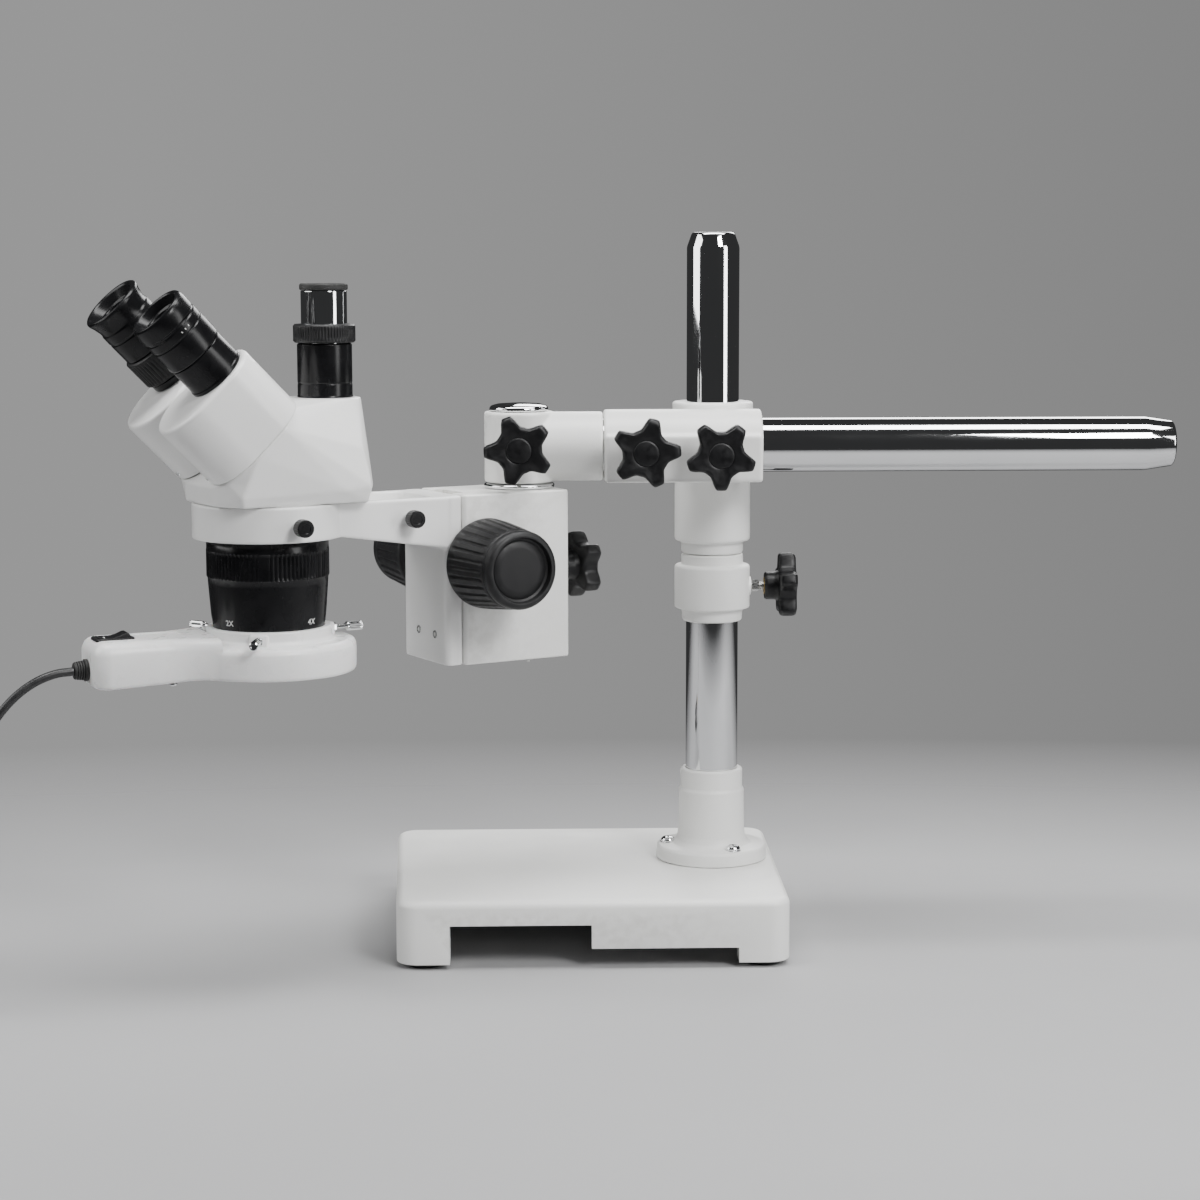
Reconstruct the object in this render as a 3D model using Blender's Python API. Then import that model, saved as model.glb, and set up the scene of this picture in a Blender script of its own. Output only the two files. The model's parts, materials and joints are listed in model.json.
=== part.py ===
"""Trinocular stereo microscope on a single-arm boom stand, with a ring light.

Sizes below are in millimetres and become metres in the mesh helpers. The object stands on z = 0,
the boom runs along X, and the operator sits on the -X side.
"""

import math

import bmesh
import bpy
from mathutils import Matrix, Vector

MM = 0.001
GAP = 0.3  # clearance between pieces that touch on the real object
ROUND = 28  # sides of a large turned piece
SMALL_ROUND = 14  # sides of a screw or a stud
SMOOTH_ANGLE = math.radians(35)

# The stand: the pillar's axis is the stand frame's origin, and this puts it in the object's frame.
PILLAR_AT = (46.06, 61.4)
PILLAR_RADIUS = 16.0
PILLAR_TOP = 428.0
BASE_TOP = 40.7
BASE_BOTTOM = 3.0
BASE_FRONT, BASE_BACK, BASE_RIGHT = -113.0, 85.0, 39.5
BASE_LEFT_FRONT, BASE_LEFT_BACK = -191.5, -200.0
BASE_CORNER = 13.0
BASE_WALL = 9.0
SKIRT_GAP_TOP = 12.3
NOTCH_TOP = 26.4
FOOT_RADIUS = 12.5
FLANGE_RADIUS = 34.3
FLANGE_SCREW_CIRCLE = 27.0
FLANGE_SCREW_ANGLES = (176, 296, 56)

SLEEVE_BORE = PILLAR_RADIUS + GAP
SLEEVE_RADIUS = 23.2
COLLAR_BOTTOM, COLLAR_TOP = 190.4, 232.0
COLLAR_KNOB_Z = 211.5
CROSS_BOTTOM, CROSS_TOP = 232.3, 325.5

BOOM_Y = -52.0
BOOM_Z = 302.5
BOOM_LEFT, BOOM_RIGHT = -100.0, 271.0
BOOM_SLEEVE_RADIUS = 21.3
BOOM_SLEEVE_LEFT, BOOM_SLEEVE_RIGHT = -68.5, 25.0
BOOM_PAD_FRONT = -76.0
BOOM_PAD_TOP = 310.0
BOOM_PAD_BOTTOM = 282.0

# The microscope hangs on a pin at the boom's left end, and is turned towards the operator's side.
PIN_X = -118.5
PIN_RADIUS = 7.9
MICROSCOPE_YAW = 29.0
BRACKET_RADIUS = 20.5
BRACKET_BOTTOM, BRACKET_TOP = 281.2, 323.0

STAR_RADIUS, STAR_WAIST = 20.0, 13.4
STAR_THICK = 11.0
STAR_HUB_RADIUS, STAR_HUB_LENGTH = 8.6, 8.5
STUD_RADIUS = 3.0

BLOCK_LEFT, BLOCK_RIGHT, BLOCK_HALF = -51.8, 18.2, 28.0
BLOCK_BOTTOM, BLOCK_TOP = 178.7, 277.7
SHAFT_X, SHAFT_Z, SHAFT_RADIUS = -39.0, 238.0, 4.0
PINION_RADIUS = 6.3
FOCUS_KNOB_NEAR, FOCUS_KNOB_LENGTH = 30.0, 45.0
CARRIAGE_LEFT, CARRIAGE_RIGHT = -63.5, -52.1
HOLDER_BOTTOM, HOLDER_TOP = 257.5, 277.4
RING_X = -162.0
RING_RADIUS, RING_BORE = 42.0, 38.0
THUMB_Z = 266.5
ARM_THUMB_X = -87.0

# The head: its frame stands on the ring's axis; the two eyepiece drums lean back at 45 degrees.
HEAD_BOTTOM = 277.7
HEAD_TOP = 335.0
PORT_X = 37.0
DRUM_PIVOT = (-23.9, 306.1)  # where the drums' turning axes cross the joint face, x and z
DRUM_TILT = 45.0
DRUM_HALF_PITCH = 24.0
DRUM_RADIUS, EYE_BOSS_RADIUS = 23.4, 20.0
EYE_OFFSET = 20.7
DRUM_SWING = 14.0
DRUM_LENGTH = 42.7
NOSE_TOP, NOSE_BOTTOM = 256.9, 197.0
NOSE_RADIUS, NOSE_LOW_RADIUS = 34.4, 31.0
NOSE_WALL = 3.2

# The ring light clamps round the nosepiece.
LIGHT_YAW = -6.5
LIGHT_BOTTOM, LIGHT_TOP, LIGHT_RADIUS = 182.0, 200.0, 49.0
LIGHT_BORE = 31.8
COLLAR_TOP_LIGHT, COLLAR_RADIUS_LIGHT = 207.5, 35.3
BOX_LEFT, BOX_RIGHT, BOX_HALF = -104.0, -36.0, 22.0
BOX_BOTTOM, BOX_TOP = 179.5, 205.0
LAMP_RING, LAMP_TUBE, LAMP_Z = 40.6, 4.6, 187.4
ROCKER_X, ROCKER_FLOOR = -89.5, 196.8
THUMB_ANGLES = (-115.5, 4.5, 124.5)
THUMB_LIGHT_Z = 203.3
RELIEF_Z, RELIEF_RADIUS, RELIEF_LENGTH = 188.3, 6.2, 7.4

# The mains lead, in the object's frame: out of the light, down to the table and along it to its coil.
CORD_RADIUS = 2.5
CORD_ROUTE = [
    (-317.3, -113.9, 188.3),
    (-327.0, -118.0, 187.4),
    (-338.0, -122.3, 183.0),
    (-349.0, -126.0, 174.5),
    (-359.0, -128.6, 162.0),
    (-367.5, -130.0, 145.0),
    (-374.0, -130.5, 124.0),
    (-379.0, -130.0, 100.0),
    (-382.5, -128.5, 76.0),
    (-386.0, -126.0, 52.0),
    (-389.5, -122.0, 30.0),
    (-393.0, -115.0, 13.0),
    (-395.0, -104.0, 4.5),
    (-395.2, -91.0, 2.7),
    (-395.1, -78.0, 2.6),
    (-395.0, -67.2, 2.6),
]
COIL_AT = (-433.0, -42.0)
COIL_INNER, COIL_OUTER, COIL_HEIGHT = 20.3, 43.2, 10.4
PLUG_AT = (-473.5, -75.0)
PLUG_WIDTH, PLUG_LENGTH, PLUG_HEIGHT = 22.0, 28.0, 14.0

COLOURS = {
    "white_paint": ((0.83, 0.83, 0.81), 0.38, 0.0),
    "white_plastic": ((0.88, 0.88, 0.87), 0.32, 0.0),
    "chrome": ((0.86, 0.87, 0.88), 0.08, 1.0),
    "steel": ((0.62, 0.62, 0.62), 0.3, 1.0),
    "brass": ((0.72, 0.55, 0.27), 0.3, 1.0),
    "black_plastic": ((0.018, 0.018, 0.02), 0.4, 0.0),
    "black_anodised": ((0.015, 0.015, 0.017), 0.3, 0.2),
    "rubber": ((0.02, 0.02, 0.02), 0.75, 0.0),
    "glass": ((0.75, 0.8, 0.85), 0.05, 0.0),
    "lamp_glass": ((0.93, 0.93, 0.9), 0.25, 0.0),
}


def clear_scene():
    for old in list(bpy.data.objects):
        bpy.data.objects.remove(old)


def material(name):
    found = bpy.data.materials.get(name)
    if found:
        return found
    colour, roughness, metallic = COLOURS[name]
    made = bpy.data.materials.new(name)
    made.use_nodes = True
    shader = made.node_tree.nodes["Principled BSDF"]
    shader.inputs["Base Color"].default_value = (*colour, 1.0)
    shader.inputs["Roughness"].default_value = roughness
    shader.inputs["Metallic"].default_value = metallic
    return made


def frame_at(name, parent, place, yaw=0.0, tilt=0.0):
    """An empty on a joint's axis, in its parent's frame: yaw about Z, then tilt about Y, in degrees."""
    frame = bpy.data.objects.new(name, None)
    bpy.context.scene.collection.objects.link(frame)
    frame.parent = parent
    frame.location = Vector(place) * MM
    frame.rotation_euler = (0.0, math.radians(tilt), math.radians(yaw))
    return frame


def add(name, shape, colour, parent):
    """The node `name`, made of a bmesh in its parent's frame and in millimetres."""
    node = bpy.data.objects.new(name, to_mesh(name, shape))
    node.data.materials.append(material(colour))
    node.data.shade_smooth()
    node.data.set_sharp_from_angle(angle=SMOOTH_ANGLE)
    bpy.context.scene.collection.objects.link(node)
    node.parent = parent
    return node


def to_mesh(name, shape):
    bmesh.ops.recalc_face_normals(shape, faces=shape.faces)
    bmesh.ops.scale(shape, vec=(MM, MM, MM), verts=shape.verts)
    mesh = bpy.data.meshes.new(name)
    shape.to_mesh(mesh)
    shape.free()
    return mesh


def combine(node, shape, operation):
    """Joins a bmesh to a node, or cuts it away, with a Boolean that stays on the node."""
    label = f"{node.name}_{operation.lower()}_{len(node.modifiers)}"
    helper = bpy.data.objects.new(label, to_mesh(label, shape))
    bpy.context.scene.collection.objects.link(helper)
    helper.parent = node
    helper.hide_render = True
    helper.display_type = "WIRE"
    boolean = node.modifiers.new(label, "BOOLEAN")
    boolean.operation = operation
    boolean.object = helper


def join(node, *shapes):
    for shape in shapes:
        combine(node, shape, "UNION")


def cut(node, *shapes):
    for shape in shapes:
        combine(node, shape, "DIFFERENCE")


def along(direction, place=(0, 0, 0)):
    """The matrix that stands a shape made along +Z on `place`, pointing in `direction`."""
    turn = Vector((0, 0, 1)).rotation_difference(Vector(direction)).to_matrix().to_4x4()
    return Matrix.Translation(Vector(place)) @ turn


def turned(profile, sides=ROUND, matrix=None):
    """A turned solid from (radius, height) points: closed on the axis, or a loop for a hollow piece."""
    shape = bmesh.new()
    solid = profile[0][0] == 0
    rings = []
    for radius, height in profile:
        if radius > 0:
            steps = (2 * math.pi * i / sides for i in range(sides))
            ring = [(radius * math.cos(a), radius * math.sin(a), height) for a in steps]
            rings.append([shape.verts.new(point) for point in ring])
    pairs = list(zip(rings, rings[1:])) + ([] if solid else [(rings[-1], rings[0])])
    for low, high in pairs:
        for i in range(sides):
            j = (i + 1) % sides
            shape.faces.new((low[i], low[j], high[j], high[i]))
    if solid:
        shape.faces.new(rings[0])
        shape.faces.new(rings[-1])
    if matrix:
        shape.transform(matrix)
    return shape


def rod(radius, start, end, sides=SMALL_ROUND, direction=(0, 0, 1), place=(0, 0, 0), edge=0.0):
    profile = [(0, end), (radius - edge, end), (radius, end - edge), (radius, start), (0, start)]
    if not edge:
        profile.pop(2)
    return turned(profile, sides, along(direction, place))


def tube(outer, inner, start, end, sides=ROUND, direction=(0, 0, 1), place=(0, 0, 0)):
    loop = [(inner, end), (outer, end), (outer, start), (inner, start)]
    return turned(loop, sides, along(direction, place))


def loft(rings):
    """A closed solid through rings of the same number of points."""
    shape = bmesh.new()
    made = [[shape.verts.new(point) for point in ring] for ring in rings]
    count = len(rings[0])
    for low, high in zip(made, made[1:]):
        for i in range(count):
            j = (i + 1) % count
            shape.faces.new((low[i], low[j], high[j], high[i]))
    shape.faces.new(made[0])
    shape.faces.new(made[-1])
    return shape


def rounded_outline(corners, radius, inset=0.0, steps=5):
    """A convex outline with round corners, moved inwards by `inset`, as (x, y) points."""
    points = []
    count = len(corners)
    for i, corner in enumerate(corners):
        here = Vector(corner)
        back = (Vector(corners[i - 1]) - here).normalized()
        ahead = (Vector(corners[(i + 1) % count]) - here).normalized()
        half_angle = back.angle(ahead) / 2
        centre = here + (back + ahead).normalized() * radius / math.sin(half_angle)
        reach = radius / math.tan(half_angle)
        first = here + back * reach - centre
        last = here + ahead * reach - centre
        sweep = first.angle_signed(last)
        for k in range(steps + 1):
            arm = first.copy()
            arm.rotate(Matrix.Rotation(-sweep * k / steps, 2))
            points.append(centre + arm.normalized() * max(radius - inset, 0.05))
    return points


def slab(corners, radius, levels, steps=5):
    """An upright block with round corners: levels are (height, inset) pairs from bottom to top."""
    rings = []
    for height, inset in levels:
        rings.append([(*p, height) for p in rounded_outline(corners, radius, inset, steps)])
    return loft(rings)


def box_corners(left, right, near, far):
    return [(left, near), (right, near), (right, far), (left, far)]


def box(low, high):
    corners = box_corners(low[0], high[0], low[1], high[1])
    return loft([[(*c, low[2]) for c in corners], [(*c, high[2]) for c in corners]])


def hull(points):
    shape = bmesh.new()
    for point in points:
        shape.verts.new(point)
    result = bmesh.ops.convex_hull(shape, input=shape.verts)
    inside = {g for g in result["geom_interior"] + result["geom_unused"] if isinstance(g, bmesh.types.BMVert)}
    bmesh.ops.delete(shape, geom=list(inside), context="VERTS")
    bmesh.ops.dissolve_limit(shape, angle_limit=math.radians(1), verts=shape.verts, edges=shape.edges)
    return shape


def star_shape(matrix, phase, lobes=5, steps=6):
    """A moulded clamp knob from its hub at z = 0 to its outer face, with its threaded stud below."""
    outline = []
    for i in range(lobes * steps):
        angle = math.radians(phase) + 2 * math.pi * i / (lobes * steps)
        lobe = 0.5 + 0.5 * math.cos(lobes * (angle - math.radians(phase)))
        reach = STAR_WAIST + (STAR_RADIUS - STAR_WAIST) * lobe ** 0.8
        outline.append((math.cos(angle) * reach, math.sin(angle) * reach))
    low, high = STAR_HUB_LENGTH, STAR_HUB_LENGTH + STAR_THICK
    rings = []
    for height, share in ((low, 0.93), (low + 1.5, 1.0), (high - 2.0, 1.0), (high, 0.9)):
        rings.append([(x * share, y * share, height) for x, y in outline])
    shape = loft(rings)
    shape.transform(matrix)
    return shape


def star_knob(name, parent, place, direction, phase, stud_length):
    """One knob with its hub and stud; `place` is where the hub starts."""
    matrix = along(direction, place)
    node = add(name, star_shape(matrix, phase), "black_plastic", parent)
    hub = [(0, STAR_HUB_LENGTH + 1), (STAR_HUB_RADIUS, STAR_HUB_LENGTH + 1), (STAR_HUB_RADIUS, 0), (0, 0)]
    join(node, turned(hub, SMALL_ROUND, matrix))
    if stud_length:
        join(node, rod(STUD_RADIUS, -stud_length, 1.0, 12, direction, place))
    return node


def make_base(stand):
    corners = [
        (BASE_LEFT_FRONT, BASE_FRONT),
        (BASE_RIGHT, BASE_FRONT),
        (BASE_RIGHT, BASE_BACK),
        (BASE_LEFT_BACK, BASE_BACK),
    ]
    levels = [
        (BASE_BOTTOM, 0.6), (BASE_BOTTOM + 1, 0), (BASE_TOP - 4, 0), (BASE_TOP - 1.2, 1.2), (BASE_TOP, 4),
    ]
    base = add("base_casting", slab(corners, BASE_CORNER, levels), "white_paint", stand)
    leg = 30.0  # how far a corner leg reaches along each side
    left, right = BASE_LEFT_FRONT + BASE_WALL, BASE_RIGHT - BASE_WALL
    near, far = BASE_FRONT + BASE_WALL, BASE_BACK - BASE_WALL
    hollow = [
        (left + leg, near), (right - leg, near), (right, near + leg), (right, far - leg),
        (right - leg, far), (left + leg, far), (left, far - leg), (left, near + leg),
    ]
    roof = BASE_TOP - BASE_WALL
    cut(base, loft([[(*c, -1.0) for c in hollow], [(*c, roof) for c in hollow]]))
    past = 15.0  # how far each cutter runs past the wall that it opens
    skirt_left, skirt_right = BASE_LEFT_FRONT + leg + 1.0, BASE_RIGHT - leg - 0.5
    cut(base, box((skirt_left, BASE_FRONT - past, -1), (skirt_right, BASE_BACK + past, SKIRT_GAP_TOP)))
    side_near, side_far = BASE_FRONT + leg + 8.0, BASE_BACK - leg - 8.0
    cut(base, box((BASE_LEFT_BACK - past, side_near, -1), (BASE_RIGHT + past, side_far, SKIRT_GAP_TOP)))
    notch_right = -77.4
    cut(base, box((skirt_left, BASE_FRONT - past, 0), (notch_right, near + 2, NOTCH_TOP)))
    inset = 16.0
    spots = [
        (BASE_LEFT_FRONT + inset, BASE_FRONT + inset), (BASE_RIGHT - inset, BASE_FRONT + inset),
        (BASE_RIGHT - inset, BASE_BACK - inset), (BASE_LEFT_BACK + inset + 1, BASE_BACK - inset),
    ]
    for number, (x, y) in enumerate(spots, 1):
        foot = rod(FOOT_RADIUS, 0, BASE_BOTTOM - GAP, 24, place=(x, y, 0))
        add(f"rubber_foot_{number}", foot, "rubber", stand)


def make_pillar(stand):
    flange_low = BASE_TOP + GAP
    profile = [
        (SLEEVE_BORE, 97.9), (18.2, 97.9), (19.2, 97.0), (19.2, 85.4), (20.2, 84.6), (20.7, 56.0),
        (22.5, 51.0), (33.2, 49.3), (FLANGE_RADIUS, 48.0), (FLANGE_RADIUS, flange_low),
        (SLEEVE_BORE, flange_low),
    ]
    socket = add("pillar_socket", turned(profile), "white_paint", stand)
    for number, angle in enumerate(FLANGE_SCREW_ANGLES, 1):
        x = FLANGE_SCREW_CIRCLE * math.cos(math.radians(angle))
        y = FLANGE_SCREW_CIRCLE * math.sin(math.radians(angle))
        cut(socket, rod(2.5, 38, 54, 12, place=(x, y, 0)), rod(5.0, 49.9, 60, 20, place=(x, y, 0)))
        head = [(0, 53.4), (2.6, 53.0), (4.2, 51.7), (4.6, 50.2), (2.1, 50.2), (2.1, 41.3), (0, 41.3)]
        add(f"flange_screw_{number}", turned(head, 16, along((0, 0, 1), (x, y, 0))), "chrome", stand)
    taper, tip = 8.5, 13.2
    rod_profile = [
        (0, PILLAR_TOP), (tip - 0.8, PILLAR_TOP), (tip, PILLAR_TOP - 0.8),
        (PILLAR_RADIUS, PILLAR_TOP - taper),
        (PILLAR_RADIUS, flange_low), (0, flange_low),
    ]
    add("pillar", turned(rod_profile), "chrome", stand)


def make_collar(stand):
    profile = [
        (SLEEVE_BORE, COLLAR_TOP), (18.4, COLLAR_TOP), (19.0, COLLAR_TOP - 0.6), (19.0, 225.2), (22.4, 225.0),
        (SLEEVE_RADIUS, 224.2), (SLEEVE_RADIUS, 199.0), (22.6, 198.4), (19.0, 198.2), (18.6, 191.2),
        (18.0, COLLAR_BOTTOM), (SLEEVE_BORE, COLLAR_BOTTOM),
    ]
    collar = add("safety_collar", turned(profile), "white_paint", stand)
    cut(collar, rod(STUD_RADIUS, 0, 40, 16, (1, 0, 0), (0, 0, COLLAR_KNOB_Z)))
    turning = frame_at("collar_knob_axis", stand, (0, 0, COLLAR_KNOB_Z))
    hub_at = 32.3
    star_knob("collar_knob", turning, (hub_at, 0, 0), (1, 0, 0), 36, 0)
    stud = rod(STUD_RADIUS - GAP, SLEEVE_BORE + 0.2, hub_at - GAP, 16, (1, 0, 0))
    add("collar_stud", stud, "steel", turning)


def make_cross_head(stand):
    profile = [
        (0, CROSS_TOP), (24.1, CROSS_TOP), (24.7, CROSS_TOP - 0.6), (24.7, 320.0), (24.1, 319.4),
        (SLEEVE_RADIUS, 319.0), (SLEEVE_RADIUS, 241.0), (22.4, 240.2), (19.0, 240.0), (19.0, 233.0),
        (18.4, CROSS_BOTTOM), (0, CROSS_BOTTOM),
    ]
    head = add("cross_head", turned(profile), "white_paint", stand)
    length = (BOOM_SLEEVE_LEFT, BOOM_SLEEVE_RIGHT)
    lying = (0, BOOM_Y, BOOM_Z)
    join(head, rod(BOOM_SLEEVE_RADIUS, *length, ROUND, (1, 0, 0), lying, edge=0.8))
    web = box_corners(-21.0, 21.0, BOOM_Y + 4, -5)
    join(head, slab(web, 2, [(284.0, 1.5), (286.0, 0), (316.0, 0), (318.0, 1.5)], 2))
    pad = box_corners(length[0] + 0.4, length[1] - 0.4, BOOM_PAD_FRONT, BOOM_Y)
    levels = [(BOOM_PAD_BOTTOM, 1.5), (BOOM_PAD_BOTTOM + 2, 0), (BOOM_PAD_TOP - 2, 0), (BOOM_PAD_TOP, 1.5)]
    join(head, slab(pad, 2, levels, 2))
    cut(head, rod(SLEEVE_BORE, length[0] - 5, length[1] + 5, ROUND, (1, 0, 0), lying))
    cut(head, rod(SLEEVE_BORE, CROSS_BOTTOM - 5, CROSS_TOP + 5, ROUND))
    for side, x, z, phase in (("left", -45.0, 301.0, 76), ("right", -1.6, 299.5, -90)):
        cut(head, rod(STUD_RADIUS + GAP, 0, 40, 16, (0, -1, 0), (x, BOOM_Y, z)))
        turning = frame_at(f"boom_knob_{side}_axis", stand, (x, BOOM_PAD_FRONT, z))
        star_knob(f"boom_knob_{side}", turning, (0, -6, 0), (0, -1, 0), phase, 12.5)


def make_boom(stand):
    taper, tip = 17.0, 13.6
    profile = [
        (0, BOOM_RIGHT), (tip - 0.8, BOOM_RIGHT), (tip, BOOM_RIGHT - 0.8),
        (PILLAR_RADIUS, BOOM_RIGHT - taper),
        (PILLAR_RADIUS, BOOM_LEFT), (0, BOOM_LEFT),
    ]
    rod_frame = frame_at("boom_axis", stand, (0, BOOM_Y, BOOM_Z))
    add("boom_arm", turned(profile, ROUND, along((1, 0, 0))), "chrome", rod_frame)
    low, high = BRACKET_BOTTOM - BOOM_Z, BRACKET_TOP - BOOM_Z
    upright = rod(BRACKET_RADIUS, low, high, ROUND, place=(PIN_X, 0, 0), edge=0.8)
    bracket = add("end_bracket", upright, "white_paint", rod_frame)
    right = BOOM_SLEEVE_LEFT - GAP
    join(bracket, rod(BRACKET_RADIUS, PIN_X, right, ROUND, (1, 0, 0), (0, 0, (low + high) / 2)))
    cut(bracket, rod(SLEEVE_BORE, BOOM_LEFT - GAP, right + 5, ROUND, (1, 0, 0)))
    cut(bracket, rod(PIN_RADIUS + GAP, -40, 40, 24, place=(PIN_X, 0, 0)))
    cut(bracket, rod(STUD_RADIUS + GAP, 0, 40, 16, (0, -1, 0), (PIN_X, 0, 0)))
    turning = frame_at("bracket_knob_axis", rod_frame, (PIN_X, -BRACKET_RADIUS, 0))
    star_knob("bracket_knob", turning, (0, -4.5, 0), (0, -1, 0), 39, 16.0)
    cap = [(0, 5.0), (15.6, 5.0), (17.3, 3.6), (17.5, GAP), (0, GAP)]
    add("bracket_cap", turned(cap, ROUND, along((0, 0, 1), (PIN_X, 0, high))), "chrome", rod_frame)


def make_focus_block(mount):
    pin = [
        (0, BRACKET_TOP - 0.4), (PIN_RADIUS, BRACKET_TOP - 0.4), (PIN_RADIUS, 280.6), (20.0, 280.6),
        (21.0, 279.8),
        (21.0, BLOCK_TOP + GAP), (PIN_RADIUS, BLOCK_TOP + GAP), (PIN_RADIUS, 255), (0, 255),
    ]
    add("mount_pin", turned(pin, 32), "chrome", mount)
    corners = box_corners(BLOCK_LEFT, BLOCK_RIGHT, -BLOCK_HALF, BLOCK_HALF)
    levels = [(BLOCK_BOTTOM, 0.8), (BLOCK_BOTTOM + 0.8, 0), (BLOCK_TOP - 0.8, 0), (BLOCK_TOP, 0.8)]
    block = add("focus_block", slab(corners, 2.5, levels, 3), "white_paint", mount)
    cut(block, rod(PIN_RADIUS + GAP, 254.5, BLOCK_TOP + 5, 24))
    slot = ((BLOCK_LEFT - 5, -13.0, BLOCK_BOTTOM - 5), (-44.0, 13.0, BLOCK_TOP + 5))
    cut(block, box(*slot))
    shaft_place = (SHAFT_X, 0, SHAFT_Z)
    cut(block, rod(PINION_RADIUS + 2.5, -11, 11, 24, (0, 1, 0), shaft_place))
    cut(block, rod(SHAFT_RADIUS + GAP, -BLOCK_HALF - 5, BLOCK_HALF + 5, 20, (0, 1, 0), shaft_place))
    lock_z = 229.0
    cut(block, rod(STUD_RADIUS + GAP, 5, BLOCK_RIGHT + 5, 16, (1, 0, 0), (0, 0, lock_z)))
    turning = frame_at("block_knob_axis", mount, (BLOCK_RIGHT, 0, lock_z))
    star_knob("block_knob", turning, (9.5, 0, 0), (1, 0, 0), 20, 20.0)


def make_focus_drive(mount):
    axis = frame_at("focus_shaft_axis", mount, (SHAFT_X, 0, SHAFT_Z))
    reach = FOCUS_KNOB_NEAR - GAP
    shaft = add("pinion_shaft", rod(SHAFT_RADIUS, -reach, reach, 20, (0, 1, 0)), "steel", axis)
    teeth = 18
    outline = []
    for i in range(teeth * 2):
        angle = 2 * math.pi * i / (teeth * 2)
        radius = PINION_RADIUS - 0.9 * (i % 2)
        outline.append((radius * math.cos(angle), radius * math.sin(angle)))
    gear = loft([[(x, y, -8.0) for x, y in outline], [(x, y, 8.0) for x, y in outline]])
    gear.transform(along((0, 1, 0)))
    join(shaft, gear)
    skirt = [
        (0, 42.8), (17.6, 42.8), (18.4, FOCUS_KNOB_LENGTH), (21.2, FOCUS_KNOB_LENGTH), (22.2, 43.8),
        (23.6, 36.0),
        (25.6, 10.0), (26.0, 2.0), (25.4, 0), (0, 0),
    ]
    for side, way in (("near", -1), ("far", 1)):
        place = (0, way * FOCUS_KNOB_NEAR, 0)
        add(f"focus_knob_{side}", turned(skirt, 32, along((0, way, 0), place)), "black_plastic", axis)


def make_carriage(mount):
    """The sliding plate, the arm and the ring that holds the head are one casting."""
    corners = box_corners(CARRIAGE_LEFT, CARRIAGE_RIGHT, -BLOCK_HALF, BLOCK_HALF)
    levels = [(179.0, 0.8), (179.8, 0), (HOLDER_TOP - 0.5, 0), (HOLDER_TOP, 0.5)]
    carriage = add("focus_carriage", slab(corners, 2.5, levels, 3), "white_paint", mount)
    near, arm_top = CARRIAGE_LEFT + 5, HOLDER_TOP - 0.2
    side = [(near, 247.0), (-133.0, HOLDER_BOTTOM + 0.9), (-133.0, arm_top), (near, arm_top)]
    join(carriage, loft([[(x, y, z) for x, z in side] for y in (-BLOCK_HALF + 0.4, BLOCK_HALF - 0.4)]))
    ring = [(RING_BORE, HOLDER_TOP), (RING_RADIUS - 0.6, HOLDER_TOP), (RING_RADIUS, HOLDER_TOP - 0.6),
            (RING_RADIUS, HOLDER_BOTTOM + 0.6), (RING_RADIUS - 0.6, HOLDER_BOTTOM),
            (RING_BORE, HOLDER_BOTTOM)]
    centre = (RING_X, 0, 0)
    join(carriage, turned(ring, 40, along((0, 0, 1), centre)))
    cut(carriage, rod(RING_BORE, HOLDER_BOTTOM - 5, HOLDER_TOP + 5, 40, place=centre))
    pocket = box_corners(-117.0, -68.0, -21.0, 21.0)
    cut(carriage, slab(pocket, 3, [(264.0, 0), (HOLDER_TOP + 5, 0)], 2))
    rail = box((CARRIAGE_RIGHT - 2, -12.5, 179.5), (-48.0, 12.5, HOLDER_TOP - 1))
    join(carriage, rail)
    for x, y in ((RING_X, -RING_BORE + 1), (ARM_THUMB_X, -20)):
        cut(carriage, rod(2.5 + GAP, 0, 20, 12, (0, -1, 0), (x, y, THUMB_Z)))
    rack = add("rack", box((-47.7, -5.0, 190.0), (-45.6, 5.0, 272.0)), "brass", mount)
    pitch = 2 * math.pi * PINION_RADIUS / 18
    teeth_count = 26
    for i in range(teeth_count):
        z = SHAFT_Z + (i - teeth_count / 2) * pitch + 0.25 * pitch
        cut(rack, box((-46.3, -6.0, z), (-45.0, 6.0, z + 0.55 * pitch)))
    make_thumb_screw("ring_thumb_screw", mount, (RING_X, -RING_RADIUS, THUMB_Z), 3.4)
    make_thumb_screw("arm_thumb_screw", mount, (ARM_THUMB_X, -BLOCK_HALF, THUMB_Z), 5.0)


def make_thumb_screw(name, parent, place, inside):
    turning = frame_at(f"{name}_axis", parent, place)
    profile = [
        (0, 12.0), (4.2, 12.0), (5.0, 11.2), (5.0, 5.4), (4.3, 4.6), (2.5, 4.4), (2.5, -inside), (0, -inside)
    ]
    add(name, turned(profile, 16, along((0, -1, 0))), "black_anodised", turning)


def seam_point(t, y, lift=0.0):
    """A point of the slanted joint face: t runs up the face, lift is square to it."""
    slope = math.sqrt(0.5)
    x0, z0 = DRUM_PIVOT
    return (x0 + (t - lift) * slope, y, z0 + (t + lift) * slope)


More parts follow.
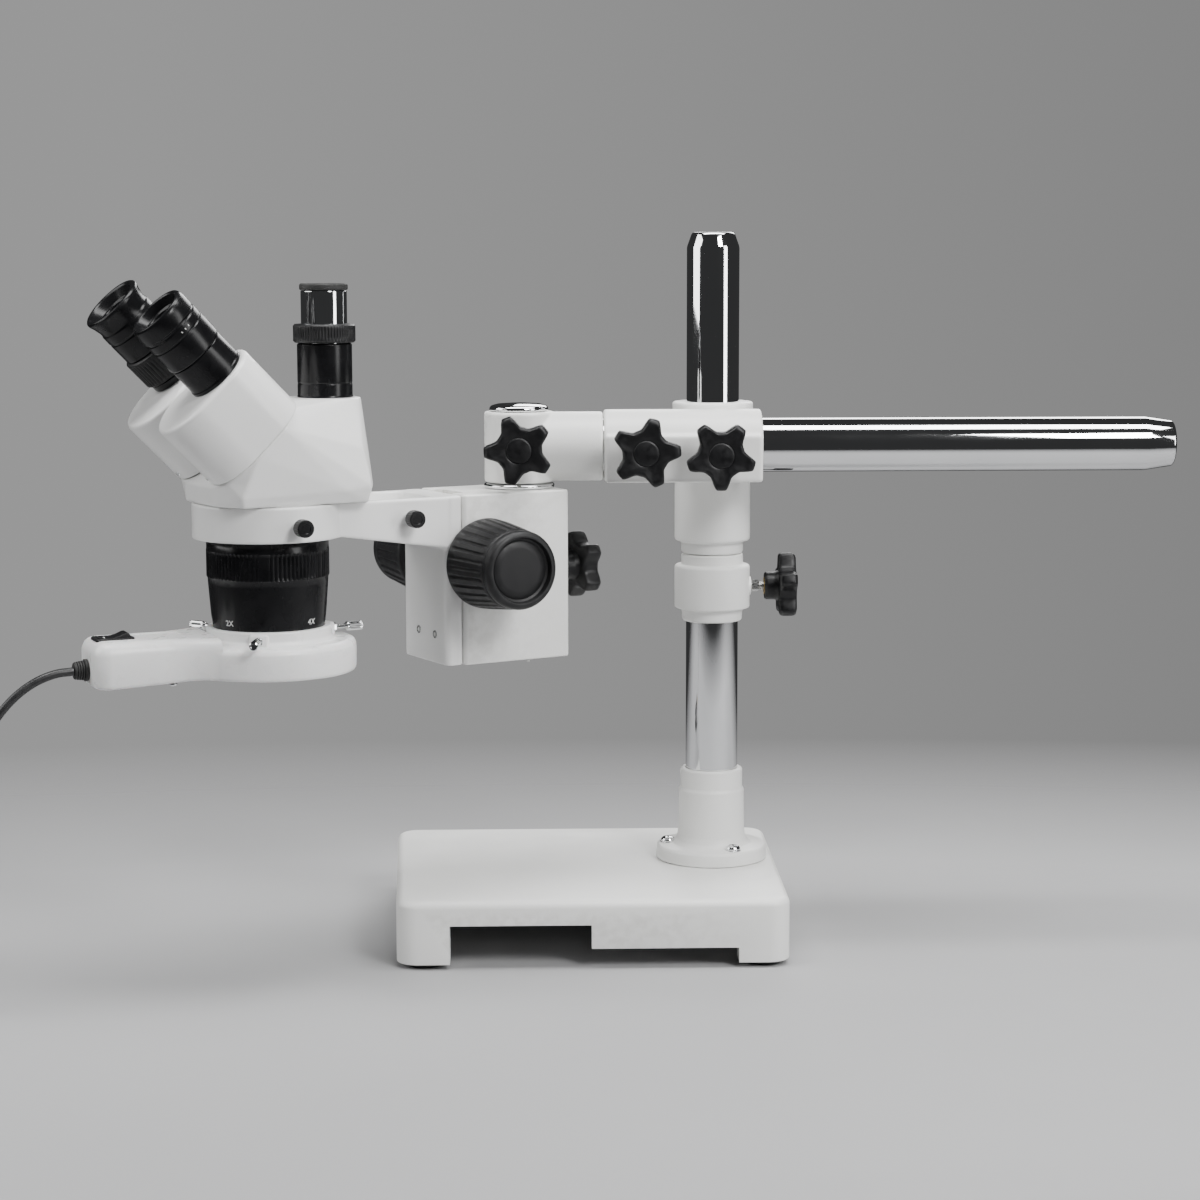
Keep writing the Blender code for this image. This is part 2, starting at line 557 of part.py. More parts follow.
def make_head(head):
    seam = []
    for t, y in ((-25.0, 18.0), (-20.0, 34.0), (0.0, 46.0), (22.0, 46.5), (36.0, 36.0), (40.5, 20.0)):
        seam += [seam_point(t, y), seam_point(t, -y)]
    boss = [(PORT_X + 20.0 * math.cos(a), 20.0 * math.sin(a), HEAD_TOP)
            for a in (math.radians(22.5 * k) for k in range(16))]
    body = []
    for x, y, z in (
        (-40.0, 20.0, HEAD_BOTTOM), (-30.0, 39.0, HEAD_BOTTOM), (46.0, 36.0, HEAD_BOTTOM),
        (51.0, 26.0, HEAD_BOTTOM),
        (47.0, 38.5, 287.0), (53.0, 28.0, 287.0), (44.0, 34.0, 308.0), (51.0, 22.0, 308.0),
        (-32.0, 41.5, 283.0), (30.0, 41.0, 285.0),
    ):
        body += [(x, y, z), (x, -y, z)]
    casting = add("head_casting", hull(seam + boss + body), "white_paint", head)
    spigot = rod(RING_BORE - GAP, NOSE_TOP + GAP, HEAD_BOTTOM + 2, 32)
    join(casting, spigot)
    cut(casting, rod(27.0, NOSE_TOP - 5, 318.0, 32))
    cut(casting, rod(13.5, 300.0, HEAD_TOP + 5, 24, place=(PORT_X, 0, 0)))
    tilt = frame_at("drum_tilt", head, (DRUM_PIVOT[0], 0, DRUM_PIVOT[1]), tilt=-DRUM_TILT)
    for y in (-DRUM_HALF_PITCH, DRUM_HALF_PITCH):
        hole = rod(12.0, -30.0, 10.0, 24, place=(0, y, 0))
        hole.transform(tilt_matrix())
        cut(casting, hole)
    return tilt


def tilt_matrix():
    place = Matrix.Translation((DRUM_PIVOT[0], 0, DRUM_PIVOT[1]))
    return place @ Matrix.Rotation(math.radians(-DRUM_TILT), 4, "Y")


def drum_outline(side, inset, steps=12):
    """Two circles and the tangents between them: the turning axis at the origin, the eyepiece above it."""
    swing = math.radians(DRUM_SWING) * side
    eye = (EYE_OFFSET * math.cos(swing), EYE_OFFSET * math.sin(swing))
    ring = []
    for centre, radius in (((0, 0), DRUM_RADIUS), (eye, EYE_BOSS_RADIUS)):
        for k in range(steps * 2):
            a = math.pi * k / steps
            x = centre[0] + (radius - inset) * math.cos(a)
            y = centre[1] + (radius - inset) * math.sin(a)
            ring.append((x, y))
    return ring


def drum_solid(side, levels):
    points = []
    for height, inset in levels:
        points += [(x, y, height) for x, y in drum_outline(side, inset)]
    return hull(points)


def make_drum(tilt, side):
    """One prism drum with its eye tube; side is -1 for the near one and 1 for the far one."""
    label = "near" if side < 0 else "far"
    pivot = frame_at(f"drum_axis_{label}", tilt, (0, side * DRUM_HALF_PITCH, 0))
    bottom, top = GAP, GAP + DRUM_LENGTH
    levels = [(bottom, 0), (top - 2.5, 0), (top - 0.7, 0.7), (top, 2.5)]
    drum = add(f"prism_drum_{label}", drum_solid(side, levels), "white_paint", pivot)
    cut(drum, drum_solid(side, [(-5, 4.5), (top - 6, 4.5)]))
    swing = math.radians(DRUM_SWING) * side
    eye = (EYE_OFFSET * math.cos(swing), EYE_OFFSET * math.sin(swing), 0)
    cut(drum, rod(15.0, top - 10, top + 5, 32, place=eye))
    prism = slab(box_corners(-12.0, 12.0, -9.0, 9.0), 1, [(6.0, 0), (24.0, 0)], 1)
    for vertex in prism.verts:
        vertex.co += Vector(eye) * (vertex.co.z - 6.0) / 18.0 * 0.8
    add(f"prism_{label}", prism, "glass", pivot)
    face = top + GAP
    if side < 0:
        make_near_eyepiece(pivot, eye, top, face)
    else:
        make_far_eyepiece(pivot, eye, top, face)


def make_near_eyepiece(pivot, eye, top, face):
    here = along((0, 0, 1), eye)
    tube_top = face + 18.0
    eye_tube = [(15.2, tube_top), (16.4, tube_top), (16.6, tube_top - 0.5), (16.6, face), (14.7, face),
                (14.7, top - 8), (13.4, top - 8), (13.4, tube_top - 3), (15.2, tube_top - 3)]
    add("eye_tube_near", turned(eye_tube, 24, here), "black_anodised", pivot)
    low, high = tube_top + GAP, top + 49.3
    eyepiece = [
        (9.0, high - 4), (14.0, high), (16.2, high), (17.0, high - 1.2), (17.0, high - 9), (16.3, high - 9.4),
        (16.3, high - 11), (16.9, high - 11.4), (16.9, low), (14.6, low), (14.6, low - 2.6),
        (13.1, low - 2.6), (13.1, face), (9.0, face),
    ]
    add("eyepiece_near", turned(eyepiece, 24, here), "black_plastic", pivot)
    lens = [(0, high - 5.2), (6, high - 5.6), (8.7, high - 6.6), (8.7, high - 9), (0, high - 9)]
    add("eye_lens_near", turned(lens, 24, here), "glass", pivot)


def make_far_eyepiece(pivot, eye, top, face):
    here = along((0, 0, 1), eye)
    sleeve_top = face + 12.0
    eye_tube = [
        (13.4, sleeve_top + 10), (14.9, sleeve_top + 10), (14.9, face + 4), (16.6, face + 4), (16.6, face),
        (14.7, face), (14.7, top - 8), (13.4, top - 8),
    ]
    add("eye_tube_far", turned(eye_tube, 24, here), "black_anodised", pivot)
    low, high = face + 4 + GAP, sleeve_top + 10 + GAP
    ring = [(15.2, high), (17.6, high), (18.3, high - 0.7), (18.3, low + 1), (17.6, low), (15.2, low)]
    add("diopter_ring", turned(ring, 24, here), "black_plastic", pivot)
    bottom, end = high + GAP, top + 55.0
    eyepiece = [
        (9.0, end - 4), (15.0, end), (17.4, end), (18.0, end - 1.2), (16.0, end - 10), (16.6, end - 12),
        (16.6, bottom), (13.1, bottom), (13.1, face), (9.0, face),
    ]
    add("eyepiece_far", turned(eyepiece, 24, here), "black_plastic", pivot)
    lens = [(0, end - 5.2), (6, end - 5.6), (8.7, end - 6.6), (8.7, end - 9), (0, end - 9)]
    add("eye_lens_far", turned(lens, 24, here), "glass", pivot)


def make_photo_port(head):
    port = frame_at("port_axis", head, (PORT_X, 0, 0))
    low = HEAD_TOP + GAP
    tube_profile = [(13.4, 365.5), (14.9, 365.5), (15.5, 364.9), (15.5, low), (13.4, low)]
    add("trinocular_tube", turned(tube_profile, 24), "black_anodised", port)
    ring = [(13.4, 376.3), (16.8, 376.3), (17.5, 375.6), (17.5, 366.5), (16.8, 365.8), (13.4, 365.8)]
    add("port_lock_ring", turned(ring, 24), "black_plastic", port)
    camera = [(11.0, 395.0), (12.9, 395.0), (13.0, 394.5), (13.0, 340.0), (11.0, 340.0)]
    add("camera_tube", turned(camera, 24), "chrome", port)
    cap = [(0, 399.0), (12.8, 399.0), (13.7, 398.2), (13.7, 395.3), (10.7, 395.3), (10.7, 387.0), (0, 387.0)]
    add("port_dust_cap", turned(cap, 24), "black_plastic", port)


def make_nosepiece(head):
    profile = [
        (28.0, NOSE_TOP), (NOSE_RADIUS - 0.8, NOSE_TOP), (NOSE_RADIUS, NOSE_TOP - 0.8), (NOSE_RADIUS, 236.0),
        (NOSE_RADIUS - 0.8, 230.0), (NOSE_LOW_RADIUS, 205.0), (NOSE_LOW_RADIUS - 0.6, NOSE_BOTTOM),
        (NOSE_LOW_RADIUS - NOSE_WALL, NOSE_BOTTOM), (NOSE_LOW_RADIUS - NOSE_WALL, 206.0), (12.0, 206.0),
        (12.0, 212.0), (28.0, 212.0),
    ]
    nose = add("nosepiece", turned(profile, 32), "black_plastic", head)
    plate = rod(13.0, 206.0, 212.0, 32)
    join(nose, plate)
    for side, x in (("left", -12.5), ("right", 12.5)):
        cut(nose, rod(9.0, 200.0, 215.0, 24, place=(0, x, 0)))
        lens = [(0, 210.5), (8.6, 210.5), (8.6, 206.8), (5.0, 205.6), (0, 205.2)]
        add(f"objective_lens_{side}", turned(lens, 24, along((0, 0, 1), (0, x, 0))), "glass", head)


def make_ring_light(light):
    profile = [
        (LIGHT_BORE, COLLAR_TOP_LIGHT), (COLLAR_RADIUS_LIGHT - 0.5, COLLAR_TOP_LIGHT),
        (COLLAR_RADIUS_LIGHT, COLLAR_TOP_LIGHT - 0.5), (COLLAR_RADIUS_LIGHT, LIGHT_TOP + 1.2),
        (COLLAR_RADIUS_LIGHT + 1.2, LIGHT_TOP), (LIGHT_RADIUS - 3.2, LIGHT_TOP),
        (LIGHT_RADIUS - 0.9, LIGHT_TOP - 1.0), (LIGHT_RADIUS, LIGHT_TOP - 3.4),
        (LIGHT_RADIUS, LIGHT_BOTTOM + 1.2), (LIGHT_RADIUS - 1.2, LIGHT_BOTTOM), (LIGHT_BORE, LIGHT_BOTTOM),
    ]
    housing = add("ring_light_housing", turned(profile, 40), "white_plastic", light)
    corners = box_corners(BOX_LEFT, BOX_RIGHT, -BOX_HALF, BOX_HALF)
    levels = [
        (BOX_BOTTOM, 1.5), (BOX_BOTTOM + 1.5, 0), (BOX_TOP - 5.5, 0), (BOX_TOP - 1.6, 1.6), (BOX_TOP, 5.5),
    ]
    join(housing, slab(corners, 9.0, levels, 5))
    outer, inner = LAMP_RING + LAMP_TUBE + 1.2, LAMP_RING - LAMP_TUBE - 1.4
    cut(housing, tube(outer, inner, BOX_BOTTOM - 5, LAMP_Z + 6.0, 40))
    lead_hole = rod(CORD_RADIUS + 1, -8, 8, 16, (1, 0, 0), (BOX_LEFT, 0, RELIEF_Z))
    cut(housing, lead_hole)
    cut(housing, box((ROCKER_X - 9.5, -6.2, ROCKER_FLOOR), (ROCKER_X + 9.5, 6.2, BOX_TOP + 5)))
    for number, angle in enumerate(THUMB_ANGLES, 1):
        way = Vector((math.cos(math.radians(angle)), math.sin(math.radians(angle)), 0))
        place = (0, 0, THUMB_LIGHT_Z)
        cut(housing, rod(1.6 + GAP, 30, 42, 12, way, place))
        turning = frame_at(f"light_thumb_screw_{number}_axis", light, place)
        screw = [
            (0, 57.0), (2.3, 57.0), (2.6, 56.6), (2.6, 47.0), (2.3, 46.6), (1.6, 46.4), (1.6, 31.4),
            (0, 31.4),
        ]
        add(f"light_thumb_screw_{number}", turned(screw, 14, along(way)), "chrome", turning)
    lamp = []
    for k in range(6):
        a = 2 * math.pi * k / 6
        lamp.append((LAMP_RING + LAMP_TUBE * math.cos(a), LAMP_Z + LAMP_TUBE * math.sin(a)))
    add("lamp_tube", turned(lamp, 40), "lamp_glass", light)
    rocker_axis = frame_at("rocker_axis", light, (ROCKER_X, 0, BOX_TOP - 1.0))
    side = [(-7.8, -5.0), (7.8, -5.0), (9.0, 1.2), (6.8, 3.9), (-1.5, 2.0), (-9.0, 1.8)]
    rocker = loft([[(x, y, z) for x, z in side] for y in (-5.8, 5.8)])
    add("rocker_switch", rocker, "black_plastic", rocker_axis)
    relief = [
        (0, RELIEF_LENGTH), (4.6, RELIEF_LENGTH), (6.2, RELIEF_LENGTH - 1), (RELIEF_RADIUS, GAP + 1.5),
        (RELIEF_RADIUS, GAP), (0, GAP),
    ]
    add("strain_relief", turned(relief, 20, along((-1, 0, 0), (BOX_LEFT, 0, RELIEF_Z))), "rubber", light)


def smooth_route(points, spacing):
    """Points about `spacing` apart on a Catmull-Rom curve through `points`."""
    padded = [points[0] * 2 - points[1], *points, points[-1] * 2 - points[-2]]
    fine = []
    for a, b, c, d in zip(padded, padded[1:], padded[2:], padded[3:]):
        for k in range(12):
            t = k / 12
            bend = (2 * a - 5 * b + 4 * c - d) * t**2 + (3 * b - a - 3 * c + d) * t**3
            fine.append(0.5 * (2 * b + (c - a) * t + bend))
    fine.append(points[-1])
    route = [fine[0]]
    for point in fine[1:]:
        if (point - route[-1]).length >= spacing:
            route.append(point)
    route[-1] = fine[-1]
    return route


def make_lead():
    """The lead's hanging stretch, its coil and its plug, in the object's own frame."""
    route = smooth_route([Vector(p) for p in CORD_ROUTE], 5 * CORD_RADIUS)
    curve = bpy.data.curves.new("power_cord", "CURVE")
    curve.dimensions = "3D"
    curve.bevel_depth = CORD_RADIUS * MM
    curve.bevel_resolution = 2
    curve.use_fill_caps = True
    spline = curve.splines.new("POLY")
    spline.points.add(len(route) - 1)
    for point, place in zip(spline.points, route):
        point.co = (*(place * MM), 1.0)
    curve.materials.append(material("rubber"))
    bpy.context.scene.collection.objects.link(bpy.data.objects.new("power_cord", curve))
    edge = 2.0
    loop = [
        (COIL_INNER, COIL_HEIGHT - edge), (COIL_INNER + edge, COIL_HEIGHT), (COIL_OUTER - edge, COIL_HEIGHT),
        (COIL_OUTER, COIL_HEIGHT - edge), (COIL_OUTER, edge), (COIL_OUTER - edge, 0), (COIL_INNER + edge, 0),
        (COIL_INNER, edge),
    ]
    add("cord_coil", turned(loop, 32, along((0, 0, 1), (*COIL_AT, 0))), "rubber", None)
    lying = frame_at("plug_place", None, (*PLUG_AT, 0), yaw=-90)
    body = box_corners(0, PLUG_LENGTH, -PLUG_WIDTH / 2, PLUG_WIDTH / 2)
    levels = [(0, 2.0), (2, 0), (PLUG_HEIGHT - 2, 0), (PLUG_HEIGHT, 2.0)]
    plug = add("mains_plug", slab(body, 4.0, levels, 4), "rubber", lying)
    blade_length, blade_pitch = 17.0, 12.7
    for y in (-blade_pitch / 2, blade_pitch / 2):
        low, high = (PLUG_LENGTH - 1, y - 0.8, 4.0), (PLUG_LENGTH + blade_length, y + 0.8, 10.3)
        join(plug, box(low, high))


def main():
    clear_scene()
    stand = frame_at("stand_frame", None, (*PILLAR_AT, 0))
    make_base(stand)
    make_pillar(stand)
    make_collar(stand)
    make_cross_head(stand)
    make_boom(stand)
    mount = frame_at("mount_axis", stand, (PIN_X, BOOM_Y, 0), yaw=MICROSCOPE_YAW)
    make_focus_block(mount)
    make_focus_drive(mount)
    make_carriage(mount)
    head = frame_at("head_axis", mount, (RING_X, 0, 0))
    tilt = make_head(head)
    for side in (-1, 1):
        make_drum(tilt, side)
    make_photo_port(head)
    make_nosepiece(head)
    light = frame_at("light_axis", head, (0, 0, 0), yaw=LIGHT_YAW)
    make_ring_light(light)
    make_lead()


main()
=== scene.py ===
"""Looks of the trinocular stereo microscope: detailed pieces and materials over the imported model.

Shapes are written in millimetres in the frame of the joint that carries them, and become metres
in `piece`.
"""

import json
from math import cos, degrees, pi, radians, sin, sqrt, tan

import bmesh
import bpy
from mathutils import Matrix, Vector


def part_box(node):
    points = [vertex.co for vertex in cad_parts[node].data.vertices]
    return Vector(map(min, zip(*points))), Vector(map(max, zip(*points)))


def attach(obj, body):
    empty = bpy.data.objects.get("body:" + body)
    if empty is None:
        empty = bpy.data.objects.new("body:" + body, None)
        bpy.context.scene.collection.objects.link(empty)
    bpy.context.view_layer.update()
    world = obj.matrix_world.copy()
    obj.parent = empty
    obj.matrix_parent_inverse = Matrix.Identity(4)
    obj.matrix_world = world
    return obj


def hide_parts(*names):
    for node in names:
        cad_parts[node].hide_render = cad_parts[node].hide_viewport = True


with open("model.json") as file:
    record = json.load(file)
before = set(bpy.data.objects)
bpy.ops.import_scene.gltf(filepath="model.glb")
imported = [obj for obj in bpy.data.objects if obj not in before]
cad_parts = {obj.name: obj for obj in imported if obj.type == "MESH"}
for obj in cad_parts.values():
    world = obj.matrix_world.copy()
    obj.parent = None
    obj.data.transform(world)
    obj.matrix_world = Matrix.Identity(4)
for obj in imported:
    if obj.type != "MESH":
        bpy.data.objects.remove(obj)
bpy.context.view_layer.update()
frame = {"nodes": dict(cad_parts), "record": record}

MM = 0.001
JOINTS = {joint["name"]: joint for joint in frame["record"]["behaviour"]["joints"]}
UP = Vector((0, 0, 1))
FINE = 96  # sides of a large turned piece
SMALL = 36  # sides of a small one
BAR_BORE = 16.3  # the holes that slide on pillar and boom
CORD_RADIUS = 2.4
COIL_AT = (-433.0, -42.0)
COIL_TURNS = 7.5
PLUG_AT = (-473.5, -75.0)
RING_BORE = 31.8  # the ring light
COLLAR_RADIUS = 35.3
THUMB_ANGLES = (-115.5, 4.5, 124.5)
THUMB_LEVEL = 203.3
BOX_LEFT, BOX_HALF, BOX_BOTTOM, BOX_TOP = -104.0, 22.0, 179.5, 205.0  # its control box
BOX_LEVELS = [  # (share of the height, inset) up the box
    (0.0, 2.0), (0.02, 1.0), (0.05, 0.3), (0.09, 0.0), (0.72, 0.0), (0.82, 0.6), (0.9, 1.7), (0.955, 3.2),
    (0.985, 4.9), (1.0, 6.8),
]
RELIEF_LEVEL = 188.3
ROOM_LIGHT = 0.05
BACKDROP = 0.43


# ---- frames


def at(x=0, y=0, z=0):
    return Matrix.Translation((x, y, z))


def joint_place(name):
    return Vector(JOINTS[name]["pos_m"])


def joint_level(name):
    return joint_place(name).z / MM


def joint_axis(name):
    return Vector(JOINTS[name]["axis"]).normalized()


def frame_matrix(origin, z, y):
    """A matrix with its origin in metres, from its Z and Y directions."""
    x = y.cross(z)
    turn = Matrix((x, y, z)).transposed().to_4x4()
    return Matrix.Translation(origin) @ turn


def upright(name, y):
    place = joint_place(name)
    return frame_matrix(Vector((place.x, place.y, 0)), UP, y)


ALONG_Y = Vector((0, 1, 0))
SIGHT = joint_axis("focus_turn")  # the microscope's own Y, square to its plane of symmetry
STAND = upright("cross_swing", ALONG_Y)
BOOM_PLACE = joint_place("bracket_roll")
BOOM = at(STAND.translation.x, BOOM_PLACE.y, BOOM_PLACE.z)
PIN_X = (joint_place("mount_swivel").x - STAND.translation.x) / MM
MOUNT = upright("mount_swivel", SIGHT)
HEAD = upright("head_turn", SIGHT)
LIGHT = upright("light_turn", joint_axis("rocker_tilt"))
PORT = upright("lock_ring_turn", SIGHT)
DRUMS = {side: frame_matrix(joint_place(f"drum_{side}_turn"), joint_axis("drum_far_turn"), SIGHT)
         for side in ("near", "far")}


def top_of(node):
    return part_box(node)[1][2] / MM


def bottom_of(node):
    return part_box(node)[0][2] / MM


# ---- materials


def map_range(tree, value, low, high, start, end):
    made = tree.nodes.new("ShaderNodeMapRange")
    bounds = {"From Min": start, "From Max": end, "To Min": low, "To Max": high}
    for name, bound in bounds.items():
        made.inputs[name].default_value = bound
    tree.links.new(value, made.inputs["Value"])
    return made.outputs["Result"]


class Finish:
    """A procedural material: tone and gloss that vary, and a fine surface texture."""

    def __init__(self, name, colour, roughness, metallic=0.0):
        self.material = bpy.data.materials.new(name)
        self.material.use_nodes = True
        self.nodes = self.material.node_tree.nodes
        self.links = self.material.node_tree.links
        self.shader = self.nodes["Principled BSDF"]
        self.colour = colour
        self.roughness = roughness
        self.shader.inputs["Base Color"].default_value = (*colour, 1.0)
        self.shader.inputs["Roughness"].default_value = roughness
        self.shader.inputs["Metallic"].default_value = metallic
        self.place = self.nodes.new("ShaderNodeTexCoord").outputs["Object"]
        self.normal = None

    def put(self, name, value):
        self.shader.inputs[name].default_value = value
        return self

    def scaled(self, stretch):
        mapping = self.nodes.new("ShaderNodeMapping")
        mapping.inputs["Scale"].default_value = stretch
        self.links.new(self.place, mapping.inputs["Vector"])
        return mapping.outputs["Vector"]

    def noise(self, size_mm, detail=3.0, stretch=(1, 1, 1)):
        made = self.nodes.new("ShaderNodeTexNoise")
        made.inputs["Scale"].default_value = 1000.0 / size_mm
        made.inputs["Detail"].default_value = detail
        self.links.new(self.scaled(stretch), made.inputs["Vector"])
        return made.outputs["Fac"]

    def ranged(self, value, low, high, start=0.3, end=0.7):
        return map_range(self.material.node_tree, value, low, high, start, end)

    def tone(self, size_mm, share, towards=None):
        """The colour drifts by `share` towards another one, in patches of about size_mm."""
        other = towards or tuple(c * 0.82 for c in self.colour)
        mix = self.nodes.new("ShaderNodeMix")
        mix.data_type = "RGBA"
        mix.inputs["A"].default_value = (*self.colour, 1.0)
        mix.inputs["B"].default_value = (*other, 1.0)
        self.links.new(self.ranged(self.noise(size_mm), 0.0, share), mix.inputs["Factor"])
        self.links.new(mix.outputs["Result"], self.shader.inputs["Base Color"])
        self.last = mix
        return self

    def wear(self, share, colour):
        """Edges rubbed or dusty: the colour turns where the surface is sharply convex."""
        geometry = self.nodes.new("ShaderNodeNewGeometry")
        edge = self.ranged(geometry.outputs["Pointiness"], 0.0, share, 0.52, 0.6)
        spots = self.ranged(self.noise(6.0), 0.0, 1.0, 0.4, 0.6)
        both = self.nodes.new("ShaderNodeMath")
        both.operation = "MULTIPLY"
        self.links.new(edge, both.inputs[0])
        self.links.new(spots, both.inputs[1])
        mix = self.nodes.new("ShaderNodeMix")
        mix.data_type = "RGBA"
        mix.inputs["B"].default_value = (*colour, 1.0)
        self.links.new(self.last.outputs["Result"], mix.inputs["A"])
        self.links.new(both.outputs["Value"], mix.inputs["Factor"])
        self.links.new(mix.outputs["Result"], self.shader.inputs["Base Color"])
        self.last = mix
        return self

    def gloss(self, size_mm, spread, stretch=(1, 1, 1)):
        low, high = max(self.roughness - spread, 0.01), self.roughness + spread
        rough = self.ranged(self.noise(size_mm, 4.0, stretch), low, high)
        self.links.new(rough, self.shader.inputs["Roughness"])
        return self

    def texture(self, size_mm, depth_mm, detail=2.0, stretch=(1, 1, 1)):
        bump = self.nodes.new("ShaderNodeBump")
        bump.inputs["Strength"].default_value = 1.0
        bump.inputs["Distance"].default_value = depth_mm * MM
        self.links.new(self.noise(size_mm, detail, stretch), bump.inputs["Height"])
        if self.normal:
            self.links.new(self.normal, bump.inputs["Normal"])
        self.normal = bump.outputs["Normal"]
        self.links.new(self.normal, self.shader.inputs["Normal"])
        return self


def make_materials():
    made = {}
    enamel = Finish("textured_enamel", (0.86, 0.86, 0.84), 0.4)
    enamel.tone(40, 0.5, (0.81, 0.81, 0.79)).wear(0.35, (0.62, 0.61, 0.58)).gloss(18, 0.07)
    enamel.texture(1.1, 0.05, 4.0).texture(0.35, 0.02).put("Coat Weight", 0.12).put("Coat Roughness", 0.25)
    made["enamel"] = enamel
    smooth = Finish("head_enamel", (0.88, 0.88, 0.87), 0.34)
    smooth.tone(35, 0.4, (0.84, 0.84, 0.825)).wear(0.25, (0.7, 0.69, 0.66)).gloss(14, 0.06)
    smooth.texture(0.7, 0.022, 3.0).put("Coat Weight", 0.2).put("Coat Roughness", 0.18)
    made["head"] = smooth
    chrome = Finish("polished_chrome", (0.78, 0.785, 0.79), 0.05, 1.0)
    chrome.tone(25, 0.4, (0.70, 0.71, 0.72)).gloss(12, 0.03, (1, 1, 0.2)).texture(0.5, 0.0006)
    made["chrome"] = chrome
    made["chrome_bar"] = Finish("polished_bar", (0.78, 0.785, 0.79), 0.05, 1.0)
    made["chrome_bar"].tone(25, 0.4, (0.70, 0.71, 0.72)).gloss(12, 0.03, (0.2, 1, 1)).texture(0.5, 0.0006)
    steel = Finish("turned_steel", (0.55, 0.55, 0.54), 0.28, 1.0)
    steel.tone(3, 0.6).gloss(2, 0.1, (1, 1, 6)).texture(0.4, 0.004, 2.0, (1, 1, 5))
    made["steel"] = steel
    brass = Finish("machined_brass", (0.68, 0.5, 0.22), 0.3, 1.0)
    made["brass"] = brass.tone(3, 0.6).gloss(2, 0.1).texture(0.3, 0.003, 2.0, (1, 1, 4))
    knob = Finish("moulded_knob", (0.006, 0.006, 0.0065), 0.4)
    knob.tone(6, 0.8, (0.011, 0.011, 0.012)).wear(0.35, (0.04, 0.04, 0.04)).gloss(3, 0.09)
    knob.put("Specular IOR Level", 0.3)
    made["knob"] = knob.texture(0.45, 0.014, 3.0)
    grip = Finish("rubber_grip", (0.008, 0.008, 0.0085), 0.46)
    grip.tone(8, 0.8, (0.014, 0.014, 0.015)).wear(0.4, (0.04, 0.04, 0.04)).gloss(4, 0.08)
    grip.put("Specular IOR Level", 0.35)
    made["grip"] = grip.texture(0.35, 0.012, 3.0)
    satin = Finish("satin_black_barrel", (0.004, 0.004, 0.0045), 0.24)
    satin.tone(12, 0.8, (0.010, 0.010, 0.011)).wear(0.35, (0.04, 0.04, 0.04)).gloss(5, 0.05, (1, 1, 0.3))
    satin.put("Specular IOR Level", 0.25)
    made["satin"] = satin.texture(0.25, 0.004, 2.0)
    rubber = Finish("black_rubber", (0.016, 0.016, 0.016), 0.66)
    made["rubber"] = rubber.tone(9, 0.8, (0.03, 0.03, 0.029)).wear(0.5, (0.06, 0.06, 0.058)).gloss(4, 0.08)
    rubber.texture(0.5, 0.015, 3.0)
    sheath = Finish("lead_sheath", (0.012, 0.012, 0.013), 0.42)
    made["sheath"] = sheath.tone(15, 0.8, (0.024, 0.024, 0.025)).gloss(6, 0.08)
    sheath.texture(0.8, 0.008, 2.0).wear(0.3, (0.05, 0.05, 0.05))
    moulding = Finish("white_moulding", (0.87, 0.87, 0.865), 0.3)
    moulding.tone(30, 0.4, (0.83, 0.83, 0.815)).wear(0.2, (0.75, 0.74, 0.71)).gloss(9, 0.06)
    moulding.texture(0.3, 0.006, 2.0).put("Subsurface Weight", 0.05).put("Subsurface Scale", 0.002)
    made["moulding"] = moulding
    glass = Finish("coated_lens", (0.02, 0.025, 0.04), 0.04)
    glass.tone(10, 0.9, (0.05, 0.02, 0.06)).gloss(8, 0.02).put("IOR", 1.6).put("Coat Weight", 0.8)
    made["glass"] = glass.put("Coat Tint", (0.55, 0.75, 0.9, 1.0)).texture(4, 0.001)
    lamp = Finish("opal_lamp", (0.90, 0.90, 0.88), 0.22)
    lamp.tone(8, 0.5, (0.84, 0.84, 0.8)).gloss(6, 0.05).texture(1.0, 0.003)
    made["lamp"] = lamp.put("Subsurface Weight", 0.3).put("Subsurface Scale", 0.003)
    mark = Finish("white_mark", (0.75, 0.75, 0.74), 0.5)
    made["mark"] = mark.tone(1, 0.5).gloss(1, 0.08).texture(0.2, 0.004)
    return {name: finish.material for name, finish in made.items()}


MATERIALS = make_materials()


# ---- shapes


def along(direction, place=(0, 0, 0)):
    turn = UP.rotation_difference(Vector(direction)).to_matrix().to_4x4()
    return Matrix.Translation(Vector(place)) @ turn


def rounded(profile, radius=0.6, steps=3):
    """A profile with its corners rounded: (radius, height) points; those on the axis stay."""
    points = [Vector(p) for p in profile]
    result = []
    for i, here in enumerate(points):
        if here.x == 0 or i in (0, len(points) - 1):
            result.append(here)
            continue
        back, ahead = points[i - 1] - here, points[i + 1] - here
        reach = min(radius, back.length * 0.45, ahead.length * 0.45)
        if reach < 0.02 or back.angle(ahead) > radians(168):
            result.append(here)
            continue
        start, end = here + back.normalized() * reach, here + ahead.normalized() * reach
        for k in range(steps + 1):
            t = k / steps
            result.append(start * (1 - t) ** 2 + here * 2 * t * (1 - t) + end * t ** 2)
    return [(p.x, p.y) for p in result]


def circle(steps):
    return [2 * pi * i / steps for i in range(steps)]


